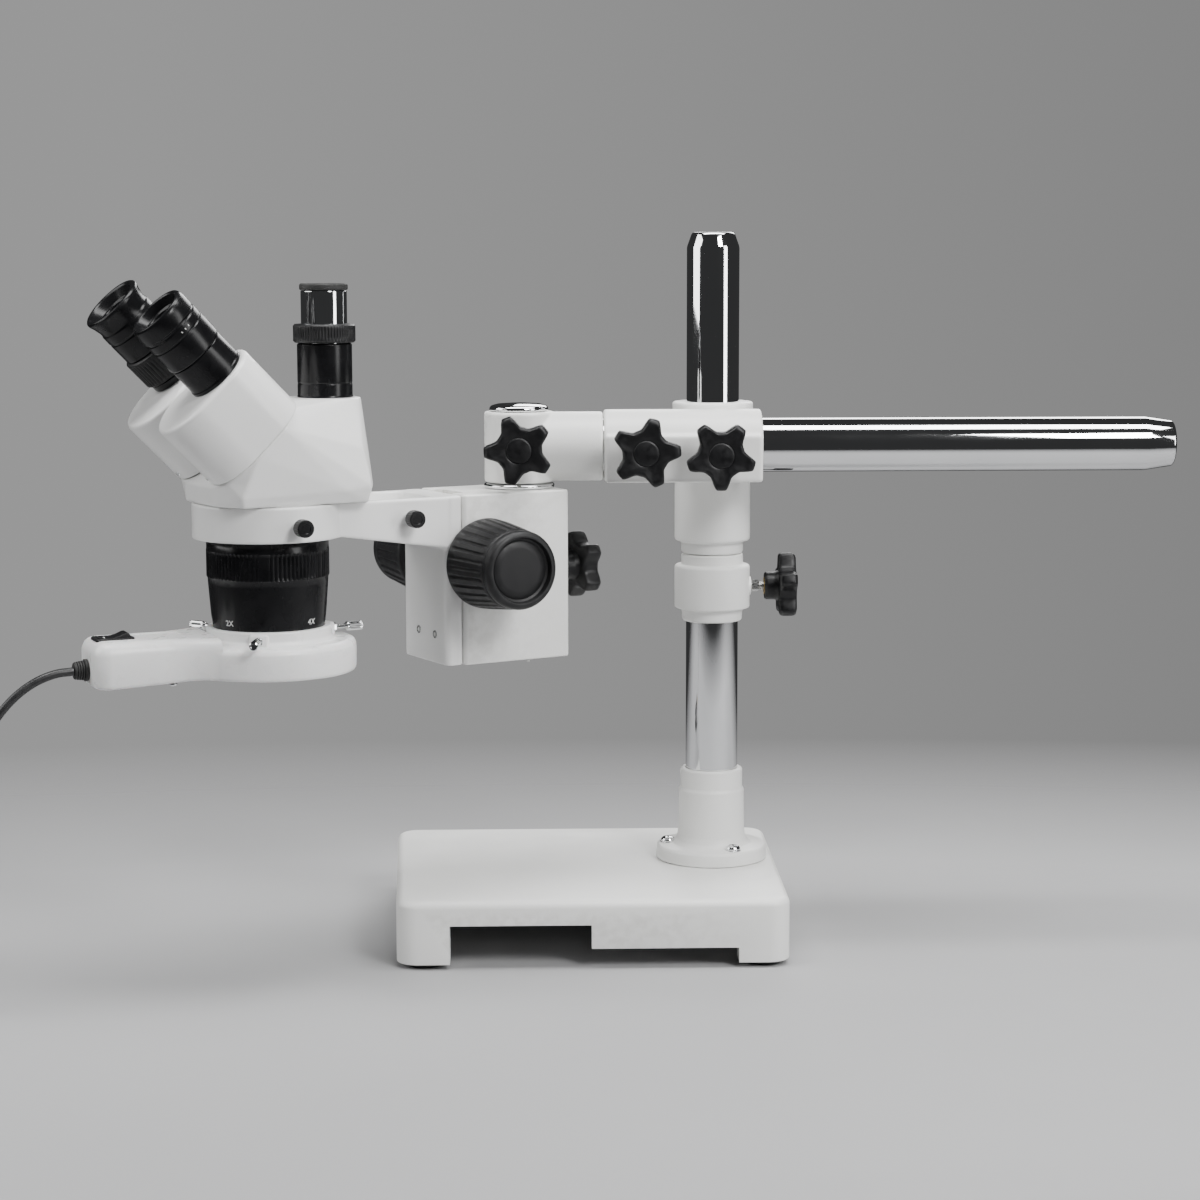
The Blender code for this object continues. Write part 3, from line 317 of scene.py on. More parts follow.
def turned(profile, sides=FINE, matrix=None, reach=None):
    """A turned shape; `reach(angle, height)` may add flutes or knurls to the radius."""
    shape = bmesh.new()
    rings = []
    for radius, height in profile:
        if radius <= 1e-6:
            rings.append([shape.verts.new((0, 0, height))])
            continue
        ring = []
        for a in circle(sides):
            r = radius + (reach(a, radius, height) if reach else 0.0)
            ring.append(shape.verts.new((r * cos(a), r * sin(a), height)))
        rings.append(ring)
    closed = profile[0][0] > 1e-6 and profile[-1][0] > 1e-6
    pairs = list(zip(rings, rings[1:])) + ([(rings[-1], rings[0])] if closed else [])
    for low, high in pairs:
        for i in range(sides):
            j = (i + 1) % sides
            corners = [low[i % len(low)], low[j % len(low)], high[j % len(high)], high[i % len(high)]]
            face = list(dict.fromkeys(corners))
            if len(face) > 2:
                shape.faces.new(face)
    if matrix:
        shape.transform(matrix)
    return shape


def rod(radius, low, high, sides=FINE, matrix=None):
    return turned([(0, low), (radius, low), (radius, high), (0, high)], sides, matrix)


def loft(rings):
    shape = bmesh.new()
    made = [[shape.verts.new(point) for point in ring] for ring in rings]
    count = len(rings[0])
    for low, high in zip(made, made[1:]):
        for i in range(count):
            j = (i + 1) % count
            shape.faces.new((low[i], low[j], high[j], high[i]))
    shape.faces.new(made[0])
    shape.faces.new(made[-1])
    return shape


def rounded_outline(corners, radius, inset=0.0, steps=10):
    points = []
    count = len(corners)
    for i, corner in enumerate(corners):
        here = Vector(corner)
        back = (Vector(corners[i - 1]) - here).normalized()
        ahead = (Vector(corners[(i + 1) % count]) - here).normalized()
        half = back.angle(ahead) / 2
        centre = here + (back + ahead).normalized() * radius / sin(half)
        reach = radius / tan(half)
        first, last = here + back * reach - centre, here + ahead * reach - centre
        sweep = first.angle_signed(last)
        for k in range(steps + 1):
            arm = first.copy()
            arm.rotate(Matrix.Rotation(-sweep * k / steps, 2))
            points.append(centre + arm.normalized() * max(radius - inset, 0.03))
    return points


def fillet_levels(low, high, bottom, top, steps=6):
    """(height, inset) pairs of a block whose lower and upper edges are rounded."""
    turns = [pi / 2 * k / steps for k in range(steps + 1)]
    levels = [(low + bottom - bottom * cos(a), bottom - bottom * sin(a)) for a in turns]
    levels += [(high - top + top * sin(a), top - top * cos(a)) for a in turns]
    return levels


def slab(corners, radius, levels, steps=10):
    return loft([[(*p, height) for p in rounded_outline(corners, radius, inset, steps)]
                 for height, inset in levels])


def rectangle(left, right, near, far):
    return [(left, near), (right, near), (right, far), (left, far)]


def block(low, high):
    corners = rectangle(low[0], high[0], low[1], high[1])
    return loft([[(*c, low[2]) for c in corners], [(*c, high[2]) for c in corners]])


def hull(points):
    shape = bmesh.new()
    for point in points:
        shape.verts.new(point)
    result = bmesh.ops.convex_hull(shape, input=shape.verts)
    inside = {g for g in result["geom_interior"] + result["geom_unused"] if isinstance(g, bmesh.types.BMVert)}
    bmesh.ops.delete(shape, geom=list(inside), context="VERTS")
    return shape


def linked(name, data):
    made = bpy.data.objects.new(name, data)
    bpy.context.scene.collection.objects.link(made)
    return made


def to_object(name, shape, matrix):
    bmesh.ops.recalc_face_normals(shape, faces=shape.faces)
    bmesh.ops.scale(shape, vec=(MM, MM, MM), verts=shape.verts)
    mesh = bpy.data.meshes.new(name)
    shape.to_mesh(mesh)
    shape.free()
    made = linked(name, mesh)
    made.matrix_world = matrix
    return made


def smooth(made, angle=32):
    made.data.shade_smooth()
    made.data.set_sharp_from_angle(angle=radians(angle))


def dress(made, body, look, replaced=()):
    made.data.materials.clear()
    made.data.materials.append(MATERIALS[look])
    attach(made, body)
    if replaced:
        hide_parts(*replaced)
    return made


def piece(name, shape, matrix, body, look, replaced=(), angle=32):
    made = to_object(name, shape, matrix)
    smooth(made, angle)
    return dress(made, body, look, replaced)


def apply_modifiers(made):
    bpy.context.view_layer.update()
    graph = bpy.context.evaluated_depsgraph_get()
    mesh = bpy.data.meshes.new_from_object(made.evaluated_get(graph))
    made.modifiers.clear()
    made.data = mesh


def combine(made, shapes, operation):
    """Joins the shapes to a piece, or cuts them away, and applies the result."""
    for shape in shapes:
        tool = to_object("tool", shape, made.matrix_world)
        boolean = made.modifiers.new("combine", "BOOLEAN")
        boolean.operation = operation
        boolean.object = tool
        apply_modifiers(made)
        bpy.data.objects.remove(tool)


def join(made, *shapes):
    combine(made, shapes, "UNION")


def cut(made, *shapes):
    combine(made, shapes, "DIFFERENCE")


def bevel(made, width, segments, angle=50):
    edge = made.modifiers.new("bevel", "BEVEL")
    edge.width, edge.segments = width * MM, segments
    edge.limit_method, edge.angle_limit = "ANGLE", radians(angle)
    apply_modifiers(made)


def soften(made, voxel=0.8, rounds=4, keep=0.3):
    """Casting look: every edge takes a small even fillet."""
    remesh = made.modifiers.new("remesh", "REMESH")
    remesh.mode = "VOXEL"
    remesh.voxel_size = voxel * MM
    relax = made.modifiers.new("relax", "SMOOTH")
    relax.factor = 0.5
    relax.iterations = rounds
    thin = made.modifiers.new("thin", "DECIMATE")
    thin.ratio = keep
    apply_modifiers(made)
    made.data.shade_smooth()


# ---- camera, lead


def make_camera():
    """About 1.6 m in front of the stand and 415 mm up, a long lens tilted a little down."""
    data = bpy.data.cameras.new("camera")
    data.lens, data.sensor_width = 78.0, 36.0
    camera = linked("camera", data)
    aside, back, height = -111.0, -1592.6, 415.0
    pitch, yaw, roll = radians(7.58), radians(1.5), radians(-0.12)
    place = STAND.translation + Vector((aside, back, height)) * MM
    turn = Matrix.Rotation(-yaw, 4, "Z") @ Matrix.Rotation(pi / 2 - pitch, 4, "X")
    camera.matrix_world = Matrix.Translation(place) @ turn @ Matrix.Rotation(roll, 4, "Z")
    bpy.context.scene.camera = camera


CORD_ROUTE = [  # from the strain relief down to the floor and along it
    (-317.3, -113.9, 188.3), (-327.0, -118.0, 187.4), (-338.0, -122.3, 183.0), (-349.0, -126.0, 174.5),
    (-359.0, -128.6, 162.0), (-367.5, -130.0, 145.0), (-374.0, -130.5, 124.0), (-379.0, -130.0, 100.0),
    (-382.5, -128.5, 76.0), (-386.0, -126.0, 52.0), (-389.5, -122.0, 30.0), (-393.0, -115.0, 13.0),
    (-395.0, -104.0, 4.5), (-395.2, -91.0, 2.7), (-395.1, -78.0, 2.6), (-395.0, -67.2, 2.6),
]


def coil_route():
    """From the tube's end into three turns inwards, one up, and three and a half outwards on top."""
    spacing, outer, low, high = 5.0, 38.0, 2.6, 7.5
    points = []
    per_turn = 28
    for k in range(int(COIL_TURNS * per_turn) + 1):
        turn = k / per_turn
        if turn < 3:
            radius, height = outer - spacing * turn, low
        elif turn < 4:
            radius, height = outer - 3 * spacing, low + (high - low) * (turn - 3)
        else:
            radius, height = outer - 3 * spacing + spacing * (turn - 4), high
        a = 2 * pi * turn
        points.append(Vector((COIL_AT[0] + radius * cos(a), COIL_AT[1] + radius * sin(a), height)))
    return points


def smooth_route(points, per_stretch=5):
    padded = [points[0] * 2 - points[1], *points, points[-1] * 2 - points[-2]]
    fine = []
    for a, b, c, d in zip(padded, padded[1:], padded[2:], padded[3:]):
        for k in range(per_stretch):
            t = k / per_stretch
            low = (2 * b) + (c - a) * t
            fine.append(0.5 * (low + (2 * a - 5 * b + 4 * c - d) * t**2 + (3 * b - a - 3 * c + d) * t**3))
    fine.append(points[-1])
    return fine


def make_lead():
    hanging = smooth_route([Vector(p) for p in CORD_ROUTE])
    entry = [Vector((-395.0, -54.0, 2.6))]
    leaving = [Vector((PLUG_AT[0] + 0.1, y, 7.4)) for y in (-52.0, -62.0, PLUG_AT[1])]
    route = hanging + entry + coil_route() + leaving
    curve = bpy.data.curves.new("mains_lead", "CURVE")
    curve.dimensions = "3D"
    curve.bevel_depth = CORD_RADIUS * MM
    curve.bevel_resolution = 4
    curve.use_fill_caps = True
    spline = curve.splines.new("POLY")
    spline.points.add(len(route) - 1)
    for point, place in zip(spline.points, route):
        point.co = (*(place * MM), 1.0)
    curve.materials.append(MATERIALS["sheath"])
    lead = linked("mains_lead", curve)
    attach(lead, "boom")
    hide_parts("power_cord", "cord_coil")
    plug = make_plug()


def make_plug():
    place = at(PLUG_AT[0] * MM, PLUG_AT[1] * MM, 0) @ Matrix.Rotation(-pi / 2, 4, "Z")
    levels = fillet_levels(0.2, 13.8, 2.5, 2.5)
    body = slab(rectangle(9.0, 28.0, -11.0, 11.0), 4.0, levels, 8)
    plug = to_object("mains_plug_body", body, place)
    relief = [(0, 0.2), (3.2, 0.2), (3.9, 2.0), (4.4, 5.0), (5.2, 8.0), (6.4, 12.0), (0, 12.0)]
    ribs = turned(relief, SMALL, along((1, 0, 0), (0, 0, 7.2)),
                  lambda a, r, h: -0.25 if r > 3 and int(h * 2) % 2 else 0.0)
    join(plug, ribs)
    grooves = [block((12 + 3.5 * k, side * 11.6 - 1.2, -1), (13.6 + 3.5 * k, side * 11.6 + 1.2, 20))
               for k in range(3) for side in (-1, 1)]
    cut(plug, *grooves)
    smooth(plug)
    dress(plug, "boom", "rubber", ["mains_plug"])
    for number, y in enumerate((-6.35, 6.35), 1):
        blade = slab(rectangle(-3.1, 3.1, -0.78, 0.78), 0.5, fillet_levels(27.5, 44.8, 0.1, 0.6, 3), 4)
        matrix = place @ at(0, y * MM, 7.2 * MM) @ Matrix.Rotation(pi / 2, 4, "Y")
        blade.transform(Matrix.Rotation(pi, 4, "Z"))
        piece(f"plug_blade_{number}", blade, matrix, "boom", "brass")
    return plug


# ---- knobs and screws


def star_outline(radius, waist, phase, steps=160):
    """Five square-ended lobes with hollow flanks."""
    outline = []
    for a in circle(steps):
        lobe = 0.5 + 0.5 * cos(5 * (a - radians(phase)))
        reach = waist + (radius - waist) * min(1.0, lobe * 1.13) ** 1.8
        outline.append((cos(a) * reach, sin(a) * reach))
    return outline


def star_shape(matrix, phase, low, high):
    rows = [(low, 0.90), (low + 0.4, 0.95), (low + 1.2, 0.985), (low + 2.6, 1.0), (high - 3.0, 1.0),
            (high - 1.6, 0.985), (high - 0.6, 0.95), (high, 0.88), (high - 0.1, 0.8), (high - 0.5, 0.66)]
    outline = star_outline(20.3, 13.7, phase)
    rings = [[(x * share, y * share, height) for x, y in outline] for height, share in rows]
    angles = circle(len(outline))
    for radius, drop in ((8.2, 0.6), (7.8, 0.8), (7.5, 0.9), (7.2, 0.4), (6.4, 0.1), (0.5, 0.0)):
        rings.append([(radius * cos(a), radius * sin(a), high - drop) for a in angles])
    shape = loft(rings)
    shape.transform(matrix)
    return shape


def star_knob(node, body, base, place, direction, phase, stud_from):
    """The moulded star with its hub, its brass insert and its bright stud."""
    matrix = along(direction, place)
    hub_length, thick = 8.5, 11.0
    piece(f"{node}_star", star_shape(matrix, phase, hub_length, hub_length + thick - 0.3), base, body,
          "knob", [node], angle=40)
    flare = hub_length + 0.6
    hub = [(0, 0.1), (7.9, 0.1), (8.6, 1.2), (8.6, 6.0), (9.6, flare), (0, flare)]
    piece(f"{node}_hub", turned(rounded(hub, 0.5), 48, matrix), base, body, "knob")
    insert = rounded([(0, 0.25), (5.2, 0.25), (5.2, -0.4), (0, -0.4)], 0.15)
    piece(f"{node}_insert", turned(insert, 6, matrix), base, body, "brass")
    stud = turned(thread_profile(2.7, stud_from, 0.0), SMALL, matrix)
    piece(f"{node}_stud", stud, base, body, "steel")


def thread_profile(radius, start, end, pitch=1.0):
    """A stud with thread grooves, as rings."""
    points = [(0, start), (radius - 0.5, start)]
    height = start + 0.5
    while height < end - 0.6:
        points += [(radius, height), (radius, height + pitch * 0.3), (radius - 0.45, height + pitch * 0.65)]
        height += pitch
    points += [(radius, end), (0, end)]
    return points


def thumb_screw(node, body, base, place, direction, head, radius, shank, start, look):
    """A knurled head between two distances, and a shank from start to the head."""
    low, high = head
    count = 22

    def knurl(angle, r, height):
        inside = low + 0.6 < height < high - 0.6 and r > shank + 0.5
        return (0.10 * cos(count * angle) - 0.06) if inside else 0.0

    profile = [(0, start), (shank, start), (shank, low - 0.6), (radius * 0.72, low - 0.5),
               (radius * 0.8, low), (radius - 0.1, low + 0.2), (radius, low + 0.8)]
    for k in range(1, 6):
        profile.append((radius, low + 0.8 + (high - low - 1.6) * k / 6))
    profile += [(radius, high - 0.8), (radius - 0.15, high - 0.3), (radius - 0.6, high),
                (radius * 0.55, high), (radius * 0.5, high - 0.25), (0, high - 0.25)]
    shape = turned(profile, 88, along(direction, place), knurl)
    piece(node + "_detail", shape, base, body, look, [node])


def cross_screw(name, body, base, place, direction, radius, height, replaced=()):
    """A pan-head screw with a cross recess."""
    matrix = along(direction, place)
    dome = [(0, -1.0), (radius, -1.0), (radius, 0.3 * height), (radius * 0.9, 0.62 * height),
            (radius * 0.66, 0.88 * height), (radius * 0.3, height), (0, height)]
    made = to_object(name, turned(rounded(dome, 0.15), 40, matrix), base)
    slot_half, slot_long = radius * 0.13, radius * 0.58
    cuts = []
    for a, b in ((slot_half, slot_long), (slot_long, slot_half)):
        recess = block((-a, -b, height * 0.45), (a, b, height + 2))
        recess.transform(matrix)
        cuts.append(recess)
    cut(made, *cuts)
    smooth(made)
    dress(made, body, "chrome", replaced)


# ---- the stand


def make_base():
    low, high = bottom_of("base_casting"), top_of("base_casting")
    left_front, right, front, back, left_back = -191.5, 39.5, -113.0, 85.0, -200.0
    corners = [(left_front, front), (right, front), (right, back), (left_back, back)]
    base = to_object("base_shell", slab(corners, 13.0, fillet_levels(low, high, 0.8, 4.5, 8), 12), STAND)
    wall, leg = 9.0, 30.0
    inner_left, inner_right, near, far = left_front + wall, right - wall, front + wall, back - wall
    hollow = [
        (inner_left + leg, near), (inner_right - leg, near), (inner_right, near + leg),
        (inner_right, far - leg), (inner_right - leg, far), (inner_left + leg, far),
        (inner_left, far - leg), (inner_left, near + leg),
    ]
    roof, gap_top, notch_top, past = high - wall, 12.3, 26.4, 15.0
    skirt_left, skirt_right = left_front + leg + 1, right - leg - 0.5
    cuts = [
        slab(hollow, 4.0, [(-5, 0), (roof - 3, 0), (roof - 0.9, 0.9), (roof, 3)], 4),
        block((skirt_left, near - 1, -5), (skirt_right, far + 1, notch_top)),
        block((skirt_left, front - past, -5), (skirt_right, back + past, gap_top)),
        block((left_back - past, front + leg + 8, -5), (right + past, back - leg - 8, gap_top)),
        block((skirt_left, front - past, -4), (-77.4, near + 2, notch_top)),
    ]
    cut(base, *cuts)
    ribs = [
        slab(rectangle(inner_left - 1, inner_right + 1, y - 2, y + 2), 0.5, [(20.0, 0.4), (roof + 2, 0)], 2)
        for y in (-45.0, 20.0)
    ]
    boss = [(0, 16.0), (30.0, 16.0), (31.0, roof + 2), (0, roof + 2)]
    join(base, *ribs, turned(boss, 64))
    bevel(base, 0.9, 3)
    smooth(base, 40)
    dress(base, "stand", "enamel", ["base_casting"])
    for number in range(1, 5):
        node = f"rubber_foot_{number}"
        box_low, box_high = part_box(node)
        centre = at((box_low[0] + box_high[0]) / 2, (box_low[1] + box_high[1]) / 2, 0)
        foot = [(0, 0.6), (4.0, 0.6), (4.6, 0.0), (10.8, 0.0), (12.3, 1.4), (12.5, 2.7), (0, 2.7)]
        piece(f"foot_pad_{number}", turned(rounded(foot, 0.5), 64), centre, "stand", "rubber", [node])


def make_pillar():
    low, high = bottom_of("pillar_socket"), top_of("pillar_socket")
    profile = [
        (BAR_BORE, high), (18.0, high), (19.2, high - 0.9), (19.2, 85.8), (20.2, 84.2), (20.5, 60.0),
        (21.0, 55.5), (22.3, 52.0), (24.5, 50.2), (32.8, 49.6), (34.1, 48.4), (34.3, low), (BAR_BORE, low),
    ]
    piece("socket_shell", turned(rounded(profile, 0.9)), STAND, "stand", "enamel", ["pillar_socket"])
    for number, angle in enumerate((176, 296, 56), 1):
        a = radians(angle)
        place = (27.0 * cos(a), 27.0 * sin(a), 50.4)
        washer = rounded([(2.4, 50.35), (5.0, 50.35), (5.0, 49.6), (2.4, 49.6)], 0.2)
        ring = turned(washer, 40, at(place[0], place[1]))
        piece(f"flange_washer_{number}", ring, STAND, "stand", "chrome")
        cross_screw(f"flange_screw_head_{number}", "stand", STAND, place, (0, 0, 1), 4.5, 3.0,
                    replaced=[f"flange_screw_{number}"])
    top = top_of("pillar")
    bar = [(0, top - 2.2), (2.2, top - 1.4), (3.2, top), (12.2, top), (13.2, top - 1.0), (15.7, top - 8.0),
           (16.0, top - 9.5), (16.0, low), (0, low)]
    piece("pillar_bar", turned(rounded(bar, 0.7), 128), STAND, "stand", "chrome", ["pillar"])


def make_collar():
    low, high = bottom_of("safety_collar"), top_of("safety_collar")
    profile = [
        (BAR_BORE, high), (18.2, high), (19.0, high - 0.8), (19.0, 225.4), (22.2, 225.1), (23.2, 224.0),
        (23.2, 199.2), (22.6, 198.4), (19.1, 198.1), (18.7, 195.0), (18.5, low + 1.0), (17.8, low),
        (BAR_BORE, low),
    ]
    piece("collar_shell", turned(rounded(profile, 0.7)), STAND, "collar", "enamel", ["safety_collar"])
    seat = rounded([(3.0, 23.9), (5.6, 23.9), (6.0, 22.0), (3.0, 22.0)], 0.3)
    knob_z = joint_level("collar_clamp_turn")
    boss = turned(seat, 48, along((1, 0, 0), (0, 0, knob_z)))
    piece("collar_boss", boss, STAND, "collar", "enamel")
    matrix = STAND @ at(0, 0, knob_z * MM)
    star_knob("collar_knob", "collar_clamp", matrix, (32.3, 0, 0), (1, 0, 0), 36, -15.5)
    sleeve = rounded([(0, 24.5), (3.6, 24.5), (3.6, 28.8), (0, 28.8)], 0.3)
    nut = turned(sleeve, 6, along((1, 0, 0)))
    piece("collar_lock_nut", nut, matrix, "collar_clamp", "steel", ["collar_stud"])


def make_cross_head():
    low, high = bottom_of("cross_head"), top_of("cross_head")
    profile = [
        (0, high), (23.9, high), (24.7, high - 0.8), (24.7, 320.4), (23.9, 319.5), (23.2, 319.0),
        (23.2, 241.0), (22.3, 240.1), (19.1, 239.8), (19.0, 233.2), (18.2, low), (0, low),
    ]
    head = to_object("cross_head_shell", turned(rounded(profile, 0.6)), STAND)
    left, right = -68.5, 25.0
    axis = BOOM.translation - STAND.translation
    y, z = axis.y / MM, axis.z / MM
    lying = along((1, 0, 0), (0, y, z))
    barrel = [(0, left), (20.4, left), (21.3, left + 0.9), (21.3, right - 0.9), (20.4, right), (0, right)]
    web = slab(rectangle(-21.0, 21.0, y + 4, -5.0), 2.5, fillet_levels(284.0, 318.0, 2.0, 2.0), 6)
    pad = slab(rectangle(left + 0.4, right - 0.4, -76.0, y), 2.2, fillet_levels(282.0, 310.0, 1.6, 1.6), 6)
    join(head, turned(rounded(barrel, 0.5), FINE, lying), web, pad)
    lying_bore = rod(BAR_BORE, left - 5, right + 5, FINE, lying)
    standing = rod(BAR_BORE, low - 5, high + 5, FINE)
    cut(head, lying_bore, standing)
    soften(head, 0.7, 4, 0.35)
    dress(head, "cross", "enamel", ["cross_head"])
    for side, phase in (("left", 76), ("right", -90)):
        place = joint_place(f"boom_clamp_{side}_turn")
        matrix = at(place.x, STAND.translation.y, place.z)
        star_knob(f"boom_knob_{side}", f"boom_clamp_{side}", matrix, (0, -82.0, 0), (0, -1, 0), phase, -12.0)


def make_boom():
    left, right = -100.0, 271.0
    bar = [(0, right - 2.2), (2.2, right - 1.4), (3.2, right), (12.6, right), (13.6, right - 1.0),
           (15.7, right - 15.0), (16.0, right - 17.5), (16.0, left + 1.2), (15.0, left), (0, left)]
    shape = turned(rounded(bar, 0.9), 128, along((1, 0, 0)))
    piece("boom_bar", shape, BOOM, "boom", "chrome_bar", ["boom_arm"])
    level = BOOM.translation.z / MM
    upper, lower = top_of("end_bracket") - level, bottom_of("end_bracket") - level
    post = [(0, upper), (19.6, upper), (20.5, upper - 0.9), (20.5, lower + 0.9), (19.6, lower), (0, lower)]
    bracket = to_object("bracket_shell", turned(rounded(post, 0.5), FINE, at(PIN_X)), BOOM)
    face = -68.8
    middle = (upper + lower) / 2
    arm = rounded([(0, PIN_X), (20.5, PIN_X), (20.5, face - 0.9), (19.6, face), (0, face)], 0.5)
    join(bracket, turned(arm, FINE, along((1, 0, 0), (0, 0, middle))))
    lying = rod(BAR_BORE, left - 0.3, face + 5, FINE, along((1, 0, 0)))
    pin = rod(8.2, -40, 40, SMALL, at(PIN_X))
    cut(bracket, lying, pin)
    soften(bracket, 0.7, 4, 0.35)
    dress(bracket, "bracket", "enamel", ["end_bracket"])
    low = upper + 0.3
    cap = rounded([(0, low), (17.2, low), (17.5, low + 1.4), (16.6, low + 3.0), (13.0, low + 4.0),
                   (6.0, low + 4.5), (0, low + 4.6)], 1.0)
    piece("cap_disc", turned(cap, FINE, at(PIN_X)), BOOM, "bracket", "chrome", ["bracket_cap"])
    matrix = BOOM @ at(PIN_X * MM)
    star_knob("bracket_knob", "bracket_clamp", matrix, (0, -25.0, 0), (0, -1, 0), 39, -15.5)


# ---- focus block and holder


def make_block():
    low, high = bottom_of("focus_block"), top_of("focus_block")
    left, right, half = -51.8, 18.2, 28.0
    shell = slab(rectangle(left, right, -half, half), 2.6, fillet_levels(low, high, 1.2, 1.2), 8)
    made = to_object("block_shell", shell, MOUNT)
    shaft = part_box("pinion_shaft")
    shaft_z = (shaft[0][2] + shaft[1][2]) / 2 / MM
    lying = along((0, 1, 0), (-39.0, 0, shaft_z))
    cuts = [
        block((left - 5, -13.0, low - 5), (-44.0, 13.0, high + 5)),
        rod(9.0, -11, 11, SMALL, lying),
        rod(4.3, -40, 40, SMALL, lying),
        rod(8.2, 254.5, high + 5, SMALL),
        rod(3.3, 5, right + 5, SMALL, along((1, 0, 0), (0, 0, 229.0))),
    ]
    cut(made, *cuts)
    bevel(made, 0.5, 2)
    smooth(made, 40)
    dress(made, "block", "enamel", ["focus_block"])
    collar = [(0, 323.0), (7.4, 322.6), (7.9, 321.8), (7.9, 281.0), (18.2, 280.9), (20.4, 280.4),
              (21.0, 279.6), (20.6, 278.1), (7.9, 278.0), (7.9, 256), (0, 256)]
    piece("pin_disc", turned(rounded(collar, 0.4)), MOUNT, "block", "chrome", ["mount_pin"])
    knob = joint_level("block_clamp_turn")
    star_knob("block_knob", "block_clamp", MOUNT @ at(0, 0, knob * MM), (27.7, 0, 0), (1, 0, 0), 20, -20.0)
    for number, y in enumerate((-15.0, -9.0, 2.0), 1):
        pin = rounded([(0, low + 1), (1.5, low + 1), (1.5, low - 2.6), (1.0, low - 3.2), (0, low - 3.2)], 0.2)
        piece(f"block_set_screw_{number}", turned(pin, 24, at(-6.0 + 3 * number, y, 0)), MOUNT, "block",
              "steel")


def focus_knob(side):
    """A tapered grip with coarse flutes, a rim, and a dished face."""
    way = -1 if side == "near" else 1
    base = frame_matrix(joint_place("focus_turn"), UP, SIGHT)
    matrix = along((0, way, 0), (0, way * 30.0, 0))
    flutes = 30

    def flute(angle, radius, height):
        if not 3.0 < height < 38.0 or radius < 20:
            return 0.0
        wave = cos(flutes * angle)
        ease = min(1.0, (height - 3.0) / 4.0, (38.0 - height) / 4.0)
        return -1.1 * ease * max(0.0, wave) ** 0.6

    profile = [(0, 0), (24.6, 0), (25.8, 0.8), (26.2, 2.2), (26.1, 4.5)]
    profile += [(26.1 - 3.2 * (k / 14) ** 1.25, 4.5 + 33.5 * k / 14) for k in range(1, 15)]
    profile += [(22.3, 38.8), (22.6, 39.8), (22.5, 42.6), (21.6, 44.2), (20.0, 45.0), (18.8, 44.8),
                (18.3, 43.6), (18.1, 41.5), (16.8, 41.0), (16.2, 41.6), (12.0, 41.9), (0, 42.0)]
    piece(f"focus_grip_{side}", turned(profile, 240, matrix, flute), base, "focus_drive", "grip",
          [f"focus_knob_{side}"], angle=50)
    bush = rounded([(4.3, -1.6), (11.0, -1.6), (11.5, -1.0), (11.5, 0.4), (4.3, 0.4)], 0.2)
    piece(f"shaft_bush_{side}", turned(bush, 64, matrix), base, "block", "steel")


def make_carriage():
    low, high = bottom_of("focus_carriage"), top_of("focus_carriage")
    left, right, half = -63.5, -52.1, 28.0
    plate = slab(rectangle(left, right, -half, half), 4.0, fillet_levels(low, high, 1.0, 1.0), 8)
    made = to_object("holder_shell", plate, MOUNT)
    ring_x = (MOUNT.inverted() @ HEAD.translation).x / MM
    top = high - 0.2
    arm = [(left + 5, 247.0), (-133.0, 258.4), (-133.0, top), (left + 5, top)]
    ring_outer, ring_low = 42.0, 257.5
    ring = turned([(0, high), (ring_outer, high), (ring_outer, ring_low), (0, ring_low)], FINE, at(ring_x))
    rail = block((right - 2, -12.5, 179.5), (-48.0, 12.5, high - 1))
    join(made, loft([[(x, y, z) for x, z in arm] for y in (-27.6, 27.6)]), ring, rail)
    pocket = slab(rectangle(-117.0, -68.0, -21.0, 21.0), 5.0, [(262.0, 2), (264, 0), (high + 5, 0)], 6)
    hole = rod(38.1, ring_low - 5, high + 5, FINE, at(ring_x))
    cut(made, pocket, hole)
    soften(made, 0.75, 3, 0.35)
    dress(made, "carriage", "head", ["focus_carriage"])
    thumb_z = joint_level("ring_screw_turn")
    back = (0, -1, 0)
    screws = (("ring", ring_x, -ring_outer), ("arm", -87.0, -half))
    for name, x, y in screws:
        thumb_screw(f"{name}_thumb_screw", f"{name}_screw", MOUNT, (x, y, thumb_z), back,
                    (5.0, 11.8), 5.0, 2.4, -3.0, "satin")
    for number, (_, x, y) in enumerate(screws, 1):
        bright = rounded([(0, 0), (3.1, 0), (3.1, 3.4), (2.5, 3.9), (0, 3.9)], 0.2)
        piece(f"thumb_screw_collar_{number}", turned(bright, 40, along(back, (x, y, thumb_z))), MOUNT,
              "carriage", "chrome")
    for number, (y, z) in enumerate(((8.0, 196.5), (-12.8, 196.0)), 1):
        socket = [(1.3, 0.3), (2.2, 0.3), (2.5, 0.0), (2.5, -0.6), (0.01, -0.6), (0.01, -0.4), (1.3, -0.4)]
        piece(f"plate_screw_{number}", turned(socket, 24, along((-1, 0, 0), (left, y, z))), MOUNT,
              "carriage", "steel")


# ---- head


def seam_point(t, y):
    """A point of the plane on which the drums turn, t up its slope from their axes."""
    pivot = HEAD.inverted() @ joint_place("drum_far_turn")
    return (pivot.x / MM + t * sqrt(0.5), y, pivot.z / MM + t * sqrt(0.5))


